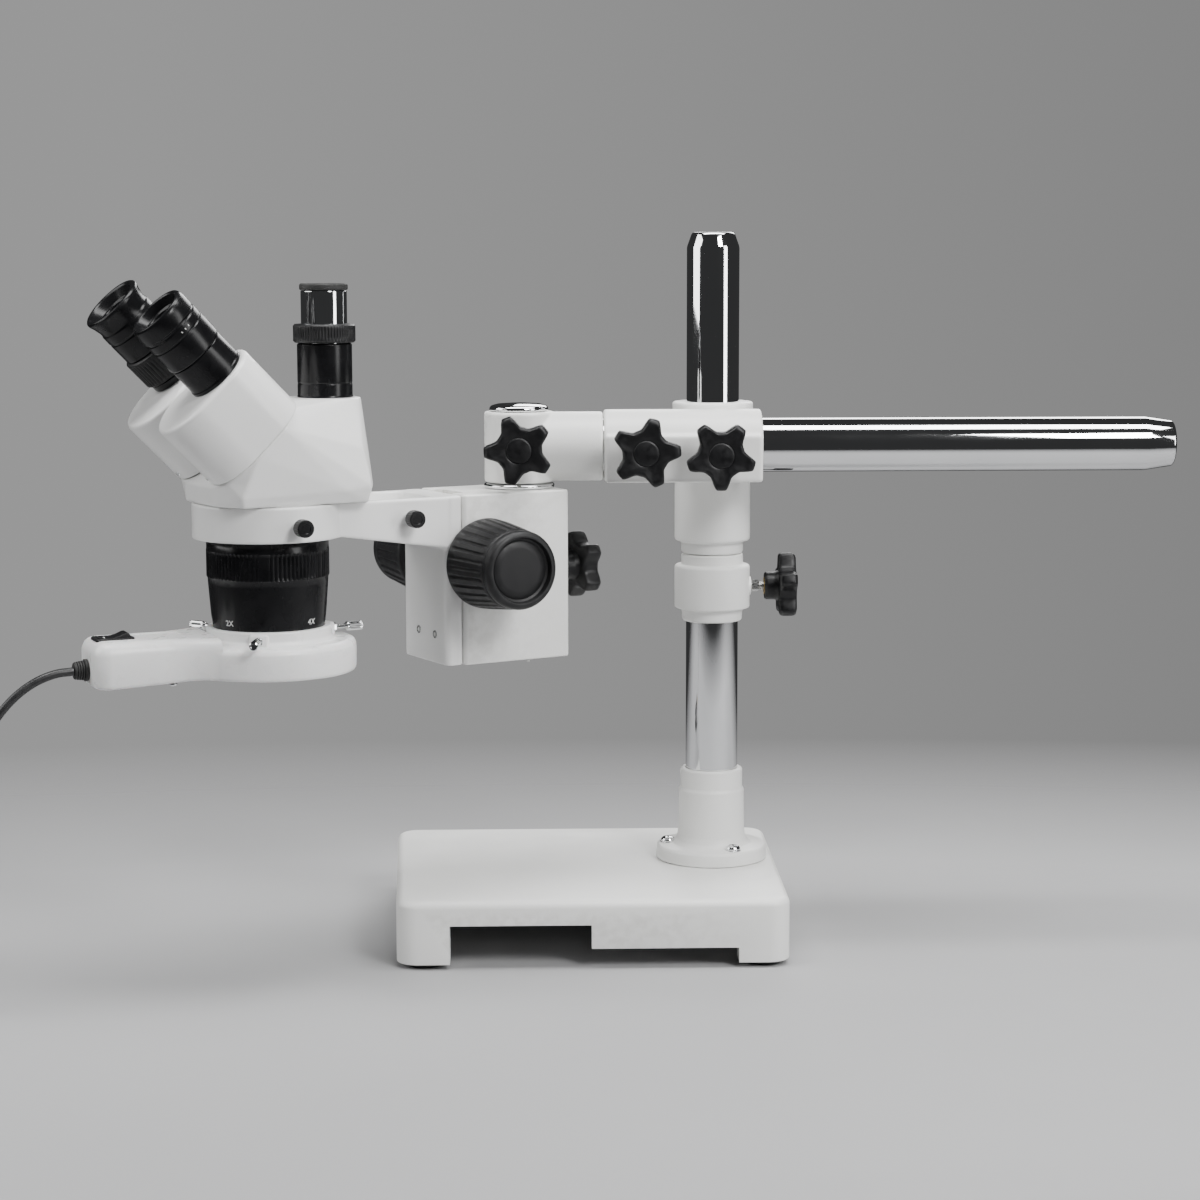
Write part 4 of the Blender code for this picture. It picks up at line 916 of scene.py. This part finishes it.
def make_head():
    low, high = top_of("focus_carriage") + 0.3, 335.0
    port_x = 37.0
    seam = []
    for t, y in ((-25.0, 18.0), (-20.0, 34.0), (0.0, 46.0), (22.0, 46.5), (36.0, 36.0), (40.5, 20.0)):
        seam += [seam_point(t, y), seam_point(t, -y)]
    boss = [(port_x + 20.0 * cos(radians(9 * k)), 20.0 * sin(radians(9 * k)), high)
            for k in range(40)]
    body = []
    for x, y, z in (
        (-40.0, 20.0, low), (-30.0, 39.0, low), (46.0, 36.0, low), (51.0, 26.0, low), (47.0, 38.5, 287.0),
        (53.0, 28.0, 287.0), (44.0, 34.0, 308.0), (51.0, 22.0, 308.0), (-32.0, 41.5, 283.0),
        (30.0, 41.0, 285.0),
    ):
        body += [(x, y, z), (x, -y, z)]
    made = to_object("head_shell", hull(seam + boss + body), HEAD)
    spigot = rod(37.6, 257.2, low + 2)
    join(made, spigot)
    soften(made, 0.9, 8, 0.3)
    dress(made, "head", "head", ["head_casting"])


def eye_place(side):
    """Where the eyepiece stands on its drum; side is -1 on the near drum and 1 on the far one."""
    swing = radians(14.0) * side
    return 20.7 * cos(swing), 20.7 * sin(swing)


def drum_points(side, height, inset, steps=64):
    eye = eye_place(side)
    points = []
    for centre, radius in (((0, 0), 23.4), (eye, 20.0)):
        reach = radius - inset
        for a in circle(steps):
            points.append((centre[0] + reach * cos(a), centre[1] + reach * sin(a), height))
    return points


def make_drum(name):
    side = -1 if name == "near" else 1
    base, body = DRUMS[name], f"drum_{name}"
    low, high = 0.5, 43.0
    points = []
    for height, inset in fillet_levels(low, high, 1.3, 2.4, 5):
        points += drum_points(side, height, inset)
    piece(f"drum_shell_{name}", hull(points), base, body, "head", [f"prism_drum_{name}"], angle=28)
    eye = at(*eye_place(side))
    for number, turn in enumerate((0.0, 75.0), 1):
        a = radians(185.0 + turn) * side
        place = (23.2 * cos(a), 23.2 * sin(a), 5.0)
        cross_screw(f"drum_screw_{name}_{number}", body, base, place, (cos(a), sin(a), 0), 1.5, 0.6)
    eyepiece = make_near_eyepiece if name == "near" else make_far_eyepiece
    eyepiece(base, eye, body, high)


def knurled(count, depth, low, high, least):
    def reach(angle, radius, height):
        inside = low < height < high and radius > least
        return depth * (abs(sin(count * angle / 2)) - 1.0) if inside else 0.0
    return reach


def make_eye_tube(name, base, eye, body, profile):
    piece(f"eye_tube_barrel_{name}", turned(rounded(profile, 0.25), FINE, eye), base, body, "satin",
          [f"eye_tube_{name}"])


def make_eyepiece(name, base, eye, body, end, barrel):
    """The eyepiece that stands in the eye tube, with its rim at `end`, and the eye lens."""
    seat = end - 5.5
    profile = [(8.9, seat - 3), (8.9, seat - 0.8), (9.6, seat), (11.0, seat + 0.4), *barrel, (14.6, seat - 3)]
    piece(f"eyepiece_body_{name}", turned(rounded(profile, 0.3), FINE, eye), base, body, "satin",
          [f"eyepiece_{name}"])
    lens = [(0, end - 6.4)]
    lens += [(8.9 * k / 8, end - 6.4 - 2.0 * (k / 8) ** 2) for k in range(1, 9)]
    lens += [(8.9, end - 9.5), (0, end - 9.5)]
    piece(f"eye_lens_glass_{name}", turned(lens, 64, eye), base, body, "glass", [f"eye_lens_{name}"])


def make_near_eyepiece(base, eye, body, face):
    top, end = face + 18.3, face + 49.0
    tube = [(14.9, top), (15.9, top), (16.5, top - 0.6), (16.5, face + 2.4), (16.9, face + 2.0),
            (16.9, face + 0.2), (14.9, face + 0.2)]
    make_eye_tube("near", base, eye, body, tube)
    low = top + 0.2
    barrel = [
        (13.6, end - 0.6), (14.6, end), (15.8, end - 0.2), (16.6, end - 1.4), (17.0, end - 3.5),
        (17.1, end - 9.6), (16.7, end - 10.0), (16.4, end - 10.3), (16.4, end - 11.4), (16.9, end - 11.8),
        (17.0, end - 16.0), (16.6, end - 16.4), (16.6, end - 17.0), (17.0, end - 17.4), (17.0, low + 0.6),
        (16.6, low), (14.6, low),
    ]
    make_eyepiece("near", base, eye, body, end, barrel)
    for k in range(3):
        mark = block((-0.25, -0.5, 0), (0.25, 0.5, 0.12))
        angle = radians(-96 + 9 * k)
        matrix = eye @ at(17.0 * cos(angle), 17.0 * sin(angle), end - 13.9)
        mark.transform(matrix @ along((cos(angle), sin(angle), 0)))
        piece(f"eyepiece_mark_{k + 1}", mark, base, body, "mark")


def make_far_eyepiece(base, eye, body, face):
    tube = [(14.9, face + 4.2), (16.2, face + 4.2), (16.6, face + 3.7), (16.6, face + 0.2),
            (14.9, face + 0.2)]
    make_eye_tube("far", base, eye, body, tube)
    low, high, end = face + 4.6, face + 22.4, face + 54.6
    rows = [low + 0.9 + (high - low - 1.8) * k / 10 for k in range(11)]
    ring = [(15.2, low), (17.4, low), (18.2, low + 0.8), *[(18.3, z) for z in rows], (18.2, high - 0.8),
            (17.4, high), (15.2, high)]
    piece("diopter_grip", turned(ring, 192, eye, knurled(48, 0.7, low + 1.4, high - 1.4, 18.0)), base,
          "diopter", "grip", ["diopter_ring"], angle=50)
    bottom = high + 0.3
    barrel = [
        (14.4, end - 0.8), (15.4, end), (17.0, end - 0.1), (17.9, end - 1.0), (17.9, end - 2.2),
        (17.0, end - 5.0), (16.2, end - 9.0), (16.1, end - 11.0), (16.6, end - 12.0), (16.7, end - 17.0),
        (16.3, end - 17.5), (16.3, end - 18.2), (16.7, end - 18.8), (16.7, bottom + 0.5), (16.3, bottom),
        (14.6, bottom),
    ]
    make_eyepiece("far", base, eye, body, end, barrel)


def make_port():
    low = 335.3
    tube = [(13.4, 365.5), (14.7, 365.5), (15.5, 364.7), (15.5, 343.6), (15.3, 343.3), (15.3, 342.7),
            (15.5, 342.4), (15.5, low + 0.8), (15.9, low), (13.4, low)]
    piece("port_barrel", turned(rounded(tube, 0.2)), PORT, "head", "satin", ["trinocular_tube"])
    bottom, top = 365.8, 376.3
    rows = [bottom + 1.0 + (top - bottom - 2.0) * k / 6 for k in range(7)]
    ring = [(13.4, bottom), (16.6, bottom), (17.5, bottom + 0.9), *[(17.6, z) for z in rows],
            (17.5, top - 0.9), (16.6, top), (13.4, top)]
    piece("lock_ring_grip", turned(ring, 240, None, knurled(60, 0.5, bottom + 1.5, top - 1.5, 17.55)), PORT,
          "lock_ring", "grip", ["port_lock_ring"], angle=50)
    tube = [(11.0, 395.1), (12.6, 395.1), (13.0, 394.6), (13.0, 340.2), (11.0, 340.2)]
    piece("camera_tube_bar", turned(rounded(tube, 0.2)), PORT, "camera_slide", "chrome", ["camera_tube"])
    cap = [(0, 398.4), (11.0, 398.5), (11.4, 399.0), (13.0, 399.0), (13.7, 398.2), (13.7, 395.9),
           (13.3, 395.3), (10.7, 395.3), (10.7, 387.0), (0, 387.0)]
    piece("port_cap", turned(rounded(cap, 0.3)), PORT, "camera_slide", "rubber", ["port_dust_cap"])


def make_nose():
    top, low = top_of("nosepiece"), bottom_of("nosepiece")
    band_low, band_high, pitch_count = 236.0, 251.0, 84

    def rib(angle, radius, height):
        if not band_low + 0.3 < height < band_high - 0.3 or radius < 34:
            return 0.0
        wide = (degrees(angle) + 360.0) % 60.0
        if wide < 8.0:
            return -0.25
        return 0.55 * (abs(sin(pitch_count * angle / 2)) - 1.0)

    rows = [(34.5, band_low + 0.4 + (band_high - band_low - 0.8) * k / 8) for k in range(9)]
    profile = [
        (27.0, top), (33.6, top), (34.3, top - 0.7), (34.3, band_high + 0.7), (34.5, band_high),
        *rows[::-1], (34.4, band_low), (33.9, band_low - 0.6), (33.7, 232.0), (32.4, 215.0), (31.2, 205.0),
        (30.9, low + 0.8), (30.2, low), (28.4, low), (27.8, low + 0.8), (27.8, 206.0), (27.0, 206.2),
    ]
    barrel = turned(profile, 336, None, rib)
    piece("nose_barrel", barrel, HEAD, "nose", "satin", ["nosepiece"], angle=45)
    disc = rounded([(0, 212), (27.5, 212), (27.5, 206.6), (0, 206.6)], 0.3)
    plate = to_object("nose_plate", turned(disc), HEAD)
    holes = [turned([(0, 200), (9.4, 200), (8.4, 215), (0, 215)], 64, at(0, y, 0))
             for y in (-12.5, 12.5)]
    cut(plate, *holes)
    smooth(plate)
    dress(plate, "nose", "satin")
    for side, y in (("left", -12.5), ("right", 12.5)):
        lens = [(0, 205.4)] + [(8.3 * k / 8, 205.4 + 1.3 * (k / 8) ** 2) for k in range(1, 9)]
        lens += [(8.3, 210.5), (0, 210.5)]
        piece(f"objective_glass_{side}", turned(lens, 64, at(0, y, 0)), HEAD, "nose", "glass",
              [f"objective_lens_{side}"])
    for number, (angle, label) in enumerate(((-66.0, "4X"), (-156.0, "2X")), 1):
        magnification_mark(number, angle, label)


def magnification_mark(number, angle, label):
    """The power that faces the operator, as small raised figures."""
    text = bpy.data.curves.new(f"power_mark_{number}", "FONT")
    text.body = label
    text.size = 4.6 * MM
    text.align_x = "CENTER"
    text.extrude = 0.15 * MM
    helper = linked("figure", text)
    bpy.context.view_layer.update()
    mesh = bpy.data.meshes.new_from_object(helper.evaluated_get(bpy.context.evaluated_depsgraph_get()))
    bpy.data.objects.remove(helper)
    radius, height = 31.9, 210.2
    for vertex in mesh.vertices:
        x, y, z = vertex.co / MM
        a = radians(angle) + x / radius
        r = radius + 0.12 * y + z
        vertex.co = Vector((r * cos(a), r * sin(a), height + y)) * MM
    made = linked(f"power_mark_{number}", mesh)
    made.matrix_world = HEAD
    dress(made, "nose", "mark")


# ---- ring light


def make_light():
    low, high, collar_top = 182.0, 200.0, top_of("ring_light_housing")
    radius = 49.2
    groove_outer, groove_inner, groove_top = 46.4, 34.6, 193.4
    profile = [
        (RING_BORE, collar_top), (COLLAR_RADIUS - 0.6, collar_top), (COLLAR_RADIUS, collar_top - 0.6),
        (COLLAR_RADIUS, high + 2.0), (COLLAR_RADIUS + 2.0, high), (radius - 4.2, high),
        (radius - 1.4, high - 1.0), (radius - 0.3, high - 3.0),
        (radius, high - 6.0), (radius - 0.2, low + 1.4), (radius - 1.0, low), (groove_outer + 0.4, low),
        (groove_outer, low + 0.6), (groove_outer, groove_top), (groove_inner, groove_top),
        (groove_inner, low + 2), (groove_inner - 0.6, low + 1), (RING_BORE, low + 1),
    ]
    shell = to_object("light_shell", turned(rounded(profile, 0.8, 4), 128), LIGHT)
    join(shell, controller_solid())
    ring_cut = turned([(groove_inner, low - 5), (groove_outer, low - 5), (groove_outer, groove_top),
                       (groove_inner, groove_top)], 128)
    centre_cut = rod(RING_BORE, low - 5, BOX_TOP + 5, 128)
    rocker_x = (LIGHT.inverted() @ joint_place("rocker_tilt")).x / MM
    bezel_hole = block((rocker_x - 9.5, -6.3, 196.8), (rocker_x + 9.5, 6.3, BOX_TOP + 5))
    lead_hole = rod(3.5, -8, 8, SMALL, along((1, 0, 0), (BOX_LEFT, 0, RELIEF_LEVEL)))
    label = slab(rectangle(-75.0, -51.0, -13.0, 13.0), 1.5, [(BOX_TOP - 0.35, 0), (BOX_TOP + 2, 0)], 4)
    cut(shell, ring_cut, centre_cut, bezel_hole, lead_hole, label)
    lugs = []
    for angle in THUMB_ANGLES:
        outline = rectangle(COLLAR_RADIUS - 2.0, COLLAR_RADIUS + 3.0, -5.2, 5.2)
        lug = slab(outline, 1.4, fillet_levels(198.0, 206.9, 0.3, 1.4, 4), 5)
        lug.transform(Matrix.Rotation(radians(angle), 4, "Z"))
        lugs.append(lug)
    join(shell, *lugs)
    smooth(shell, 38)
    dress(shell, "light", "moulding", ["ring_light_housing"])
    bezel_outline = rectangle(rocker_x - 10.8, rocker_x + 10.8, -7.6, 7.6)
    frame_levels = [(BOX_TOP - 0.6, 0), (BOX_TOP + 0.5, 0), (BOX_TOP + 0.9, 0.4)]
    bezel = to_object("rocker_bezel", slab(bezel_outline, 1.6, frame_levels, 5), LIGHT)
    cut(bezel, block((rocker_x - 9.4, -6.2, 190), (rocker_x + 9.4, 6.2, 220)))
    smooth(bezel)
    dress(bezel, "light", "knob")
    make_rocker()
    lamp_radius, lamp_tube, lamp_z = 40.6, 4.6, 187.4
    tube = [(lamp_radius + lamp_tube * cos(a), lamp_z + lamp_tube * sin(a)) for a in circle(20)]
    piece("lamp_glass_tube", turned(tube, 128), LIGHT, "light", "lamp", ["lamp_tube"], angle=60)
    holder = slab(rectangle(-46.2, -34.8, -8.5, 8.5), 1.5, fillet_levels(181.6, 193.2, 1.0, 0.2, 3), 4)
    piece("lamp_holder", holder, LIGHT, "light", "moulding")
    for number, angle in enumerate((45.0, 135.0, 225.0, 315.0), 1):
        clip = slab(rectangle(-1.6, 1.6, -5.3, 5.3), 0.8, [(182.2, 0.3), (182.6, 0), (193.2, 0)], 3)
        clip.transform(Matrix.Rotation(radians(angle + 90.0), 4, "Z") @ at(0, -lamp_radius, 0))
        piece(f"lamp_clip_{number}", clip, LIGHT, "light", "steel")
    for number, angle in enumerate(THUMB_ANGLES, 1):
        a = radians(angle)
        way = (cos(a), sin(a), 0)
        place = (0, 0, THUMB_LEVEL)
        thumb_screw(f"light_thumb_screw_{number}", f"light_screw_{number}", LIGHT, place, way,
                    (47.0, 57.0), 2.6, 1.3, 31.4, "chrome")
        nut = rounded([(1.4, 40.4), (2.6, 40.4), (2.8, 38.0), (1.4, 38.0)], 0.15)
        piece(f"thumb_screw_seat_{number}", turned(nut, 6, along(way, place)), LIGHT, "light", "chrome")
    rings = [(0, 8.2), (3.0, 8.2), (4.4, 7.8)]
    for k in range(4):
        z = 7.2 - 1.3 * k
        wide, narrow = 4.9 + 0.2 * k, 4.3 + 0.2 * k
        rings += [(wide, z), (wide, z - 0.6), (narrow, z - 0.8), (narrow, z - 1.0)]
    rings += [(6.2, 1.9), (6.2, 0.3), (0, 0.3)]
    relief = turned(rings, 64, along((-1, 0, 0), (BOX_LEFT, 0, RELIEF_LEVEL)))
    piece("lead_relief", relief, LIGHT, "light", "rubber", ["strain_relief"])
    for number, (x, y) in enumerate(((-95.0, -14.0), (-95.0, 14.0), (-60.0, -14.0), (-60.0, 14.0)), 1):
        cross_screw(f"light_screw_{number}_head", "light", LIGHT, (x, y, 179.6), (0, 0, -1), 2.4, 1.1)

def controller_solid():
    """The long controller box: rounded edges, a waist where it meets the ring, a foot that rises to it."""
    rings = []
    steps = 14
    for height, inset in BOX_LEVELS:
        ring = []
        low_x, high_x = BOX_LEFT + inset, -36.0
        corner = max(9.0 - inset, 0.5)
        near = BOX_HALF - inset
        outline = [(high_x, -32.0 + inset), (high_x - 6.0, -28.5 + inset), (high_x - 12.0, -25.0 + inset),
                   (high_x - 19.0, -22.8 + inset), (high_x - 27.0, -near)]
        for k in range(steps + 1):
            a = -pi / 2 - pi / 2 * k / steps
            outline.append((low_x + corner + corner * cos(a), -near + corner + corner * sin(a)))
        for x, y in outline:
            share = min(1.0, max(0.0, (x - BOX_LEFT - 20.0) / 40.0))
            rise = 2.6 * share * share * (3 - 2 * share)
            ring.append((x, y, BOX_BOTTOM + rise + (BOX_TOP - BOX_BOTTOM - rise) * height))
        ring += [(x, -y, z) for x, y, z in reversed(ring)]
        rings.append(ring)
    return loft(rings)

def make_rocker():
    side = [(-7.8, -5.0), (7.8, -5.0), (9.0, 1.0), (8.7, 3.0), (7.6, 4.4), (6.0, 4.3), (2.4, 2.8),
            (-2.0, 1.9), (-6.0, 1.7), (-8.4, 1.9), (-9.0, 1.3)]
    base = frame_matrix(joint_place("rocker_tilt"), UP, joint_axis("rocker_tilt"))
    shape = loft([[(x, y, z) for x, z in side] for y in (-5.7, 5.7)])
    made = to_object("rocker_cap", shape, base)
    bevel(made, 0.4, 3, 25)
    smooth(made)
    dress(made, "rocker", "knob", ["rocker_switch"])
    bar = slab(rectangle(-0.35, 0.35, -2.0, 2.0), 0.1, [(1.3, 0), (1.98, 0)], 2)
    bar.transform(at(-5.0))
    piece("rocker_on_mark", bar, base, "rocker", "mark")


# ---- room


def area_light(name, place, target, size, power):
    """A soft box; without a target it points straight down."""
    data = bpy.data.lights.new(name, "AREA")
    data.shape = "RECTANGLE"
    data.size, data.size_y = size
    data.energy = power
    light = linked(name, data)
    light.location = place
    if target:
        light.rotation_euler = (Vector(target) - Vector(place)).to_track_quat("-Z", "Y").to_euler()


def fade_floor_edge_and_shade(paper, inner, outer):
    """The floor fades out between two distances from its middle, so that it has no edge; the fade is also
    painted shade, the floor darkening to the backdrop's grey further out.
    """
    nodes, links = paper.nodes, paper.links
    length = nodes.new("ShaderNodeVectorMath")
    length.operation = "LENGTH"
    links.new(paper.scaled((0.7, 1.6, 1.0)), length.inputs[0])
    fade = paper.ranged(length.outputs["Value"], 1.0, 0.0, inner, outer)
    clear = nodes.new("ShaderNodeBsdfTransparent")
    mix = nodes.new("ShaderNodeMixShader")
    links.new(fade, mix.inputs["Fac"])
    links.new(clear.outputs["BSDF"], mix.inputs[1])
    links.new(paper.shader.outputs["BSDF"], mix.inputs[2])
    links.new(mix.outputs["Shader"], nodes["Material Output"].inputs["Surface"])


def make_world():
    """A grey studio backdrop with painted shade, slightly darker to the right, in a dim room."""
    world = bpy.data.worlds.new("studio")
    bpy.context.scene.world = world
    world.use_nodes = True
    nodes, links = world.node_tree.nodes, world.node_tree.links
    room = nodes["Background"]
    room.inputs["Color"].default_value = (0.80, 0.81, 0.83, 1.0)
    room.inputs["Strength"].default_value = ROOM_LIGHT
    backdrop = nodes.new("ShaderNodeBackground")
    split = nodes.new("ShaderNodeSeparateXYZ")
    links.new(nodes.new("ShaderNodeTexCoord").outputs["Generated"], split.inputs["Vector"])
    # painted shade: the backdrop seen by the camera dims to the right
    shade = map_range(world.node_tree, split.outputs["X"], BACKDROP, BACKDROP * 0.72, -0.15, 0.25)
    links.new(shade, backdrop.inputs["Strength"])
    seen = nodes.new("ShaderNodeLightPath").outputs["Is Camera Ray"]
    mix = nodes.new("ShaderNodeMixShader")
    links.new(seen, mix.inputs["Fac"])
    links.new(room.outputs["Background"], mix.inputs[1])
    links.new(backdrop.outputs["Background"], mix.inputs[2])
    links.new(mix.outputs["Shader"], nodes["World Output"].inputs["Surface"])

def make_room():
    """A pale floor without an edge, which fades as painted shade, and large soft boxes overhead and at both
    sides.
    """
    shape = bmesh.new()
    bmesh.ops.create_circle(shape, cap_ends=True, segments=96, radius=2.4)
    mesh = bpy.data.meshes.new("floor")
    shape.to_mesh(mesh)
    shape.free()
    floor = linked("floor", mesh)
    floor.location = (-0.05, -0.1, 0.0)
    paper = Finish("floor_paper", (0.37, 0.37, 0.375), 0.8)
    paper.tone(300, 0.3, (0.35, 0.35, 0.355)).gloss(60, 0.05).texture(2.0, 0.02)
    # painted shade: the floor fades to the darker backdrop away from its middle, as well as losing its edge
    fade_floor_edge_and_shade(paper, 0.54, 1.25)
    mesh.materials.append(paper.material)
    make_world()
    area_light("key_box", (1.0, -1.5, 1.5), (0, 0, 0.2), (0.6, 0.7), 36)
    area_light("left_box", (-1.45, -0.15, 0.95), (0, 0, 0.3), (1.0, 0.9), 13)
    area_light("right_box", (1.25, -0.85, 0.62), (0.05, 0, 0.3), (0.4, 0.9), 8)
    area_light("top_box", (0.1, -0.2, 1.6), None, (1.9, 0.5), 38)
    area_light("back_box", (0.5, 2.0, 1.3), (0, 0, 0.2), (1.3, 0.8), 22)


def carried_over():
    """Inner CAD pieces that keep their shape take a better finish."""
    looks = {"rack": "brass", "pinion_shaft": "steel", "prism_near": "glass", "prism_far": "glass"}
    for node, look in looks.items():
        made = frame["nodes"][node]
        if not made.material_slots:
            made.data.materials.append(MATERIALS[look])
        for slot in made.material_slots:
            slot.material = MATERIALS[look]


make_camera()
make_lead()
make_base()
make_pillar()
make_collar()
make_cross_head()
make_boom()
make_block()
for knob_side in ("near", "far"):
    focus_knob(knob_side)
make_carriage()
make_head()
for drum_side in ("near", "far"):
    make_drum(drum_side)
make_port()
make_nose()
make_light()
carried_over()
make_room()
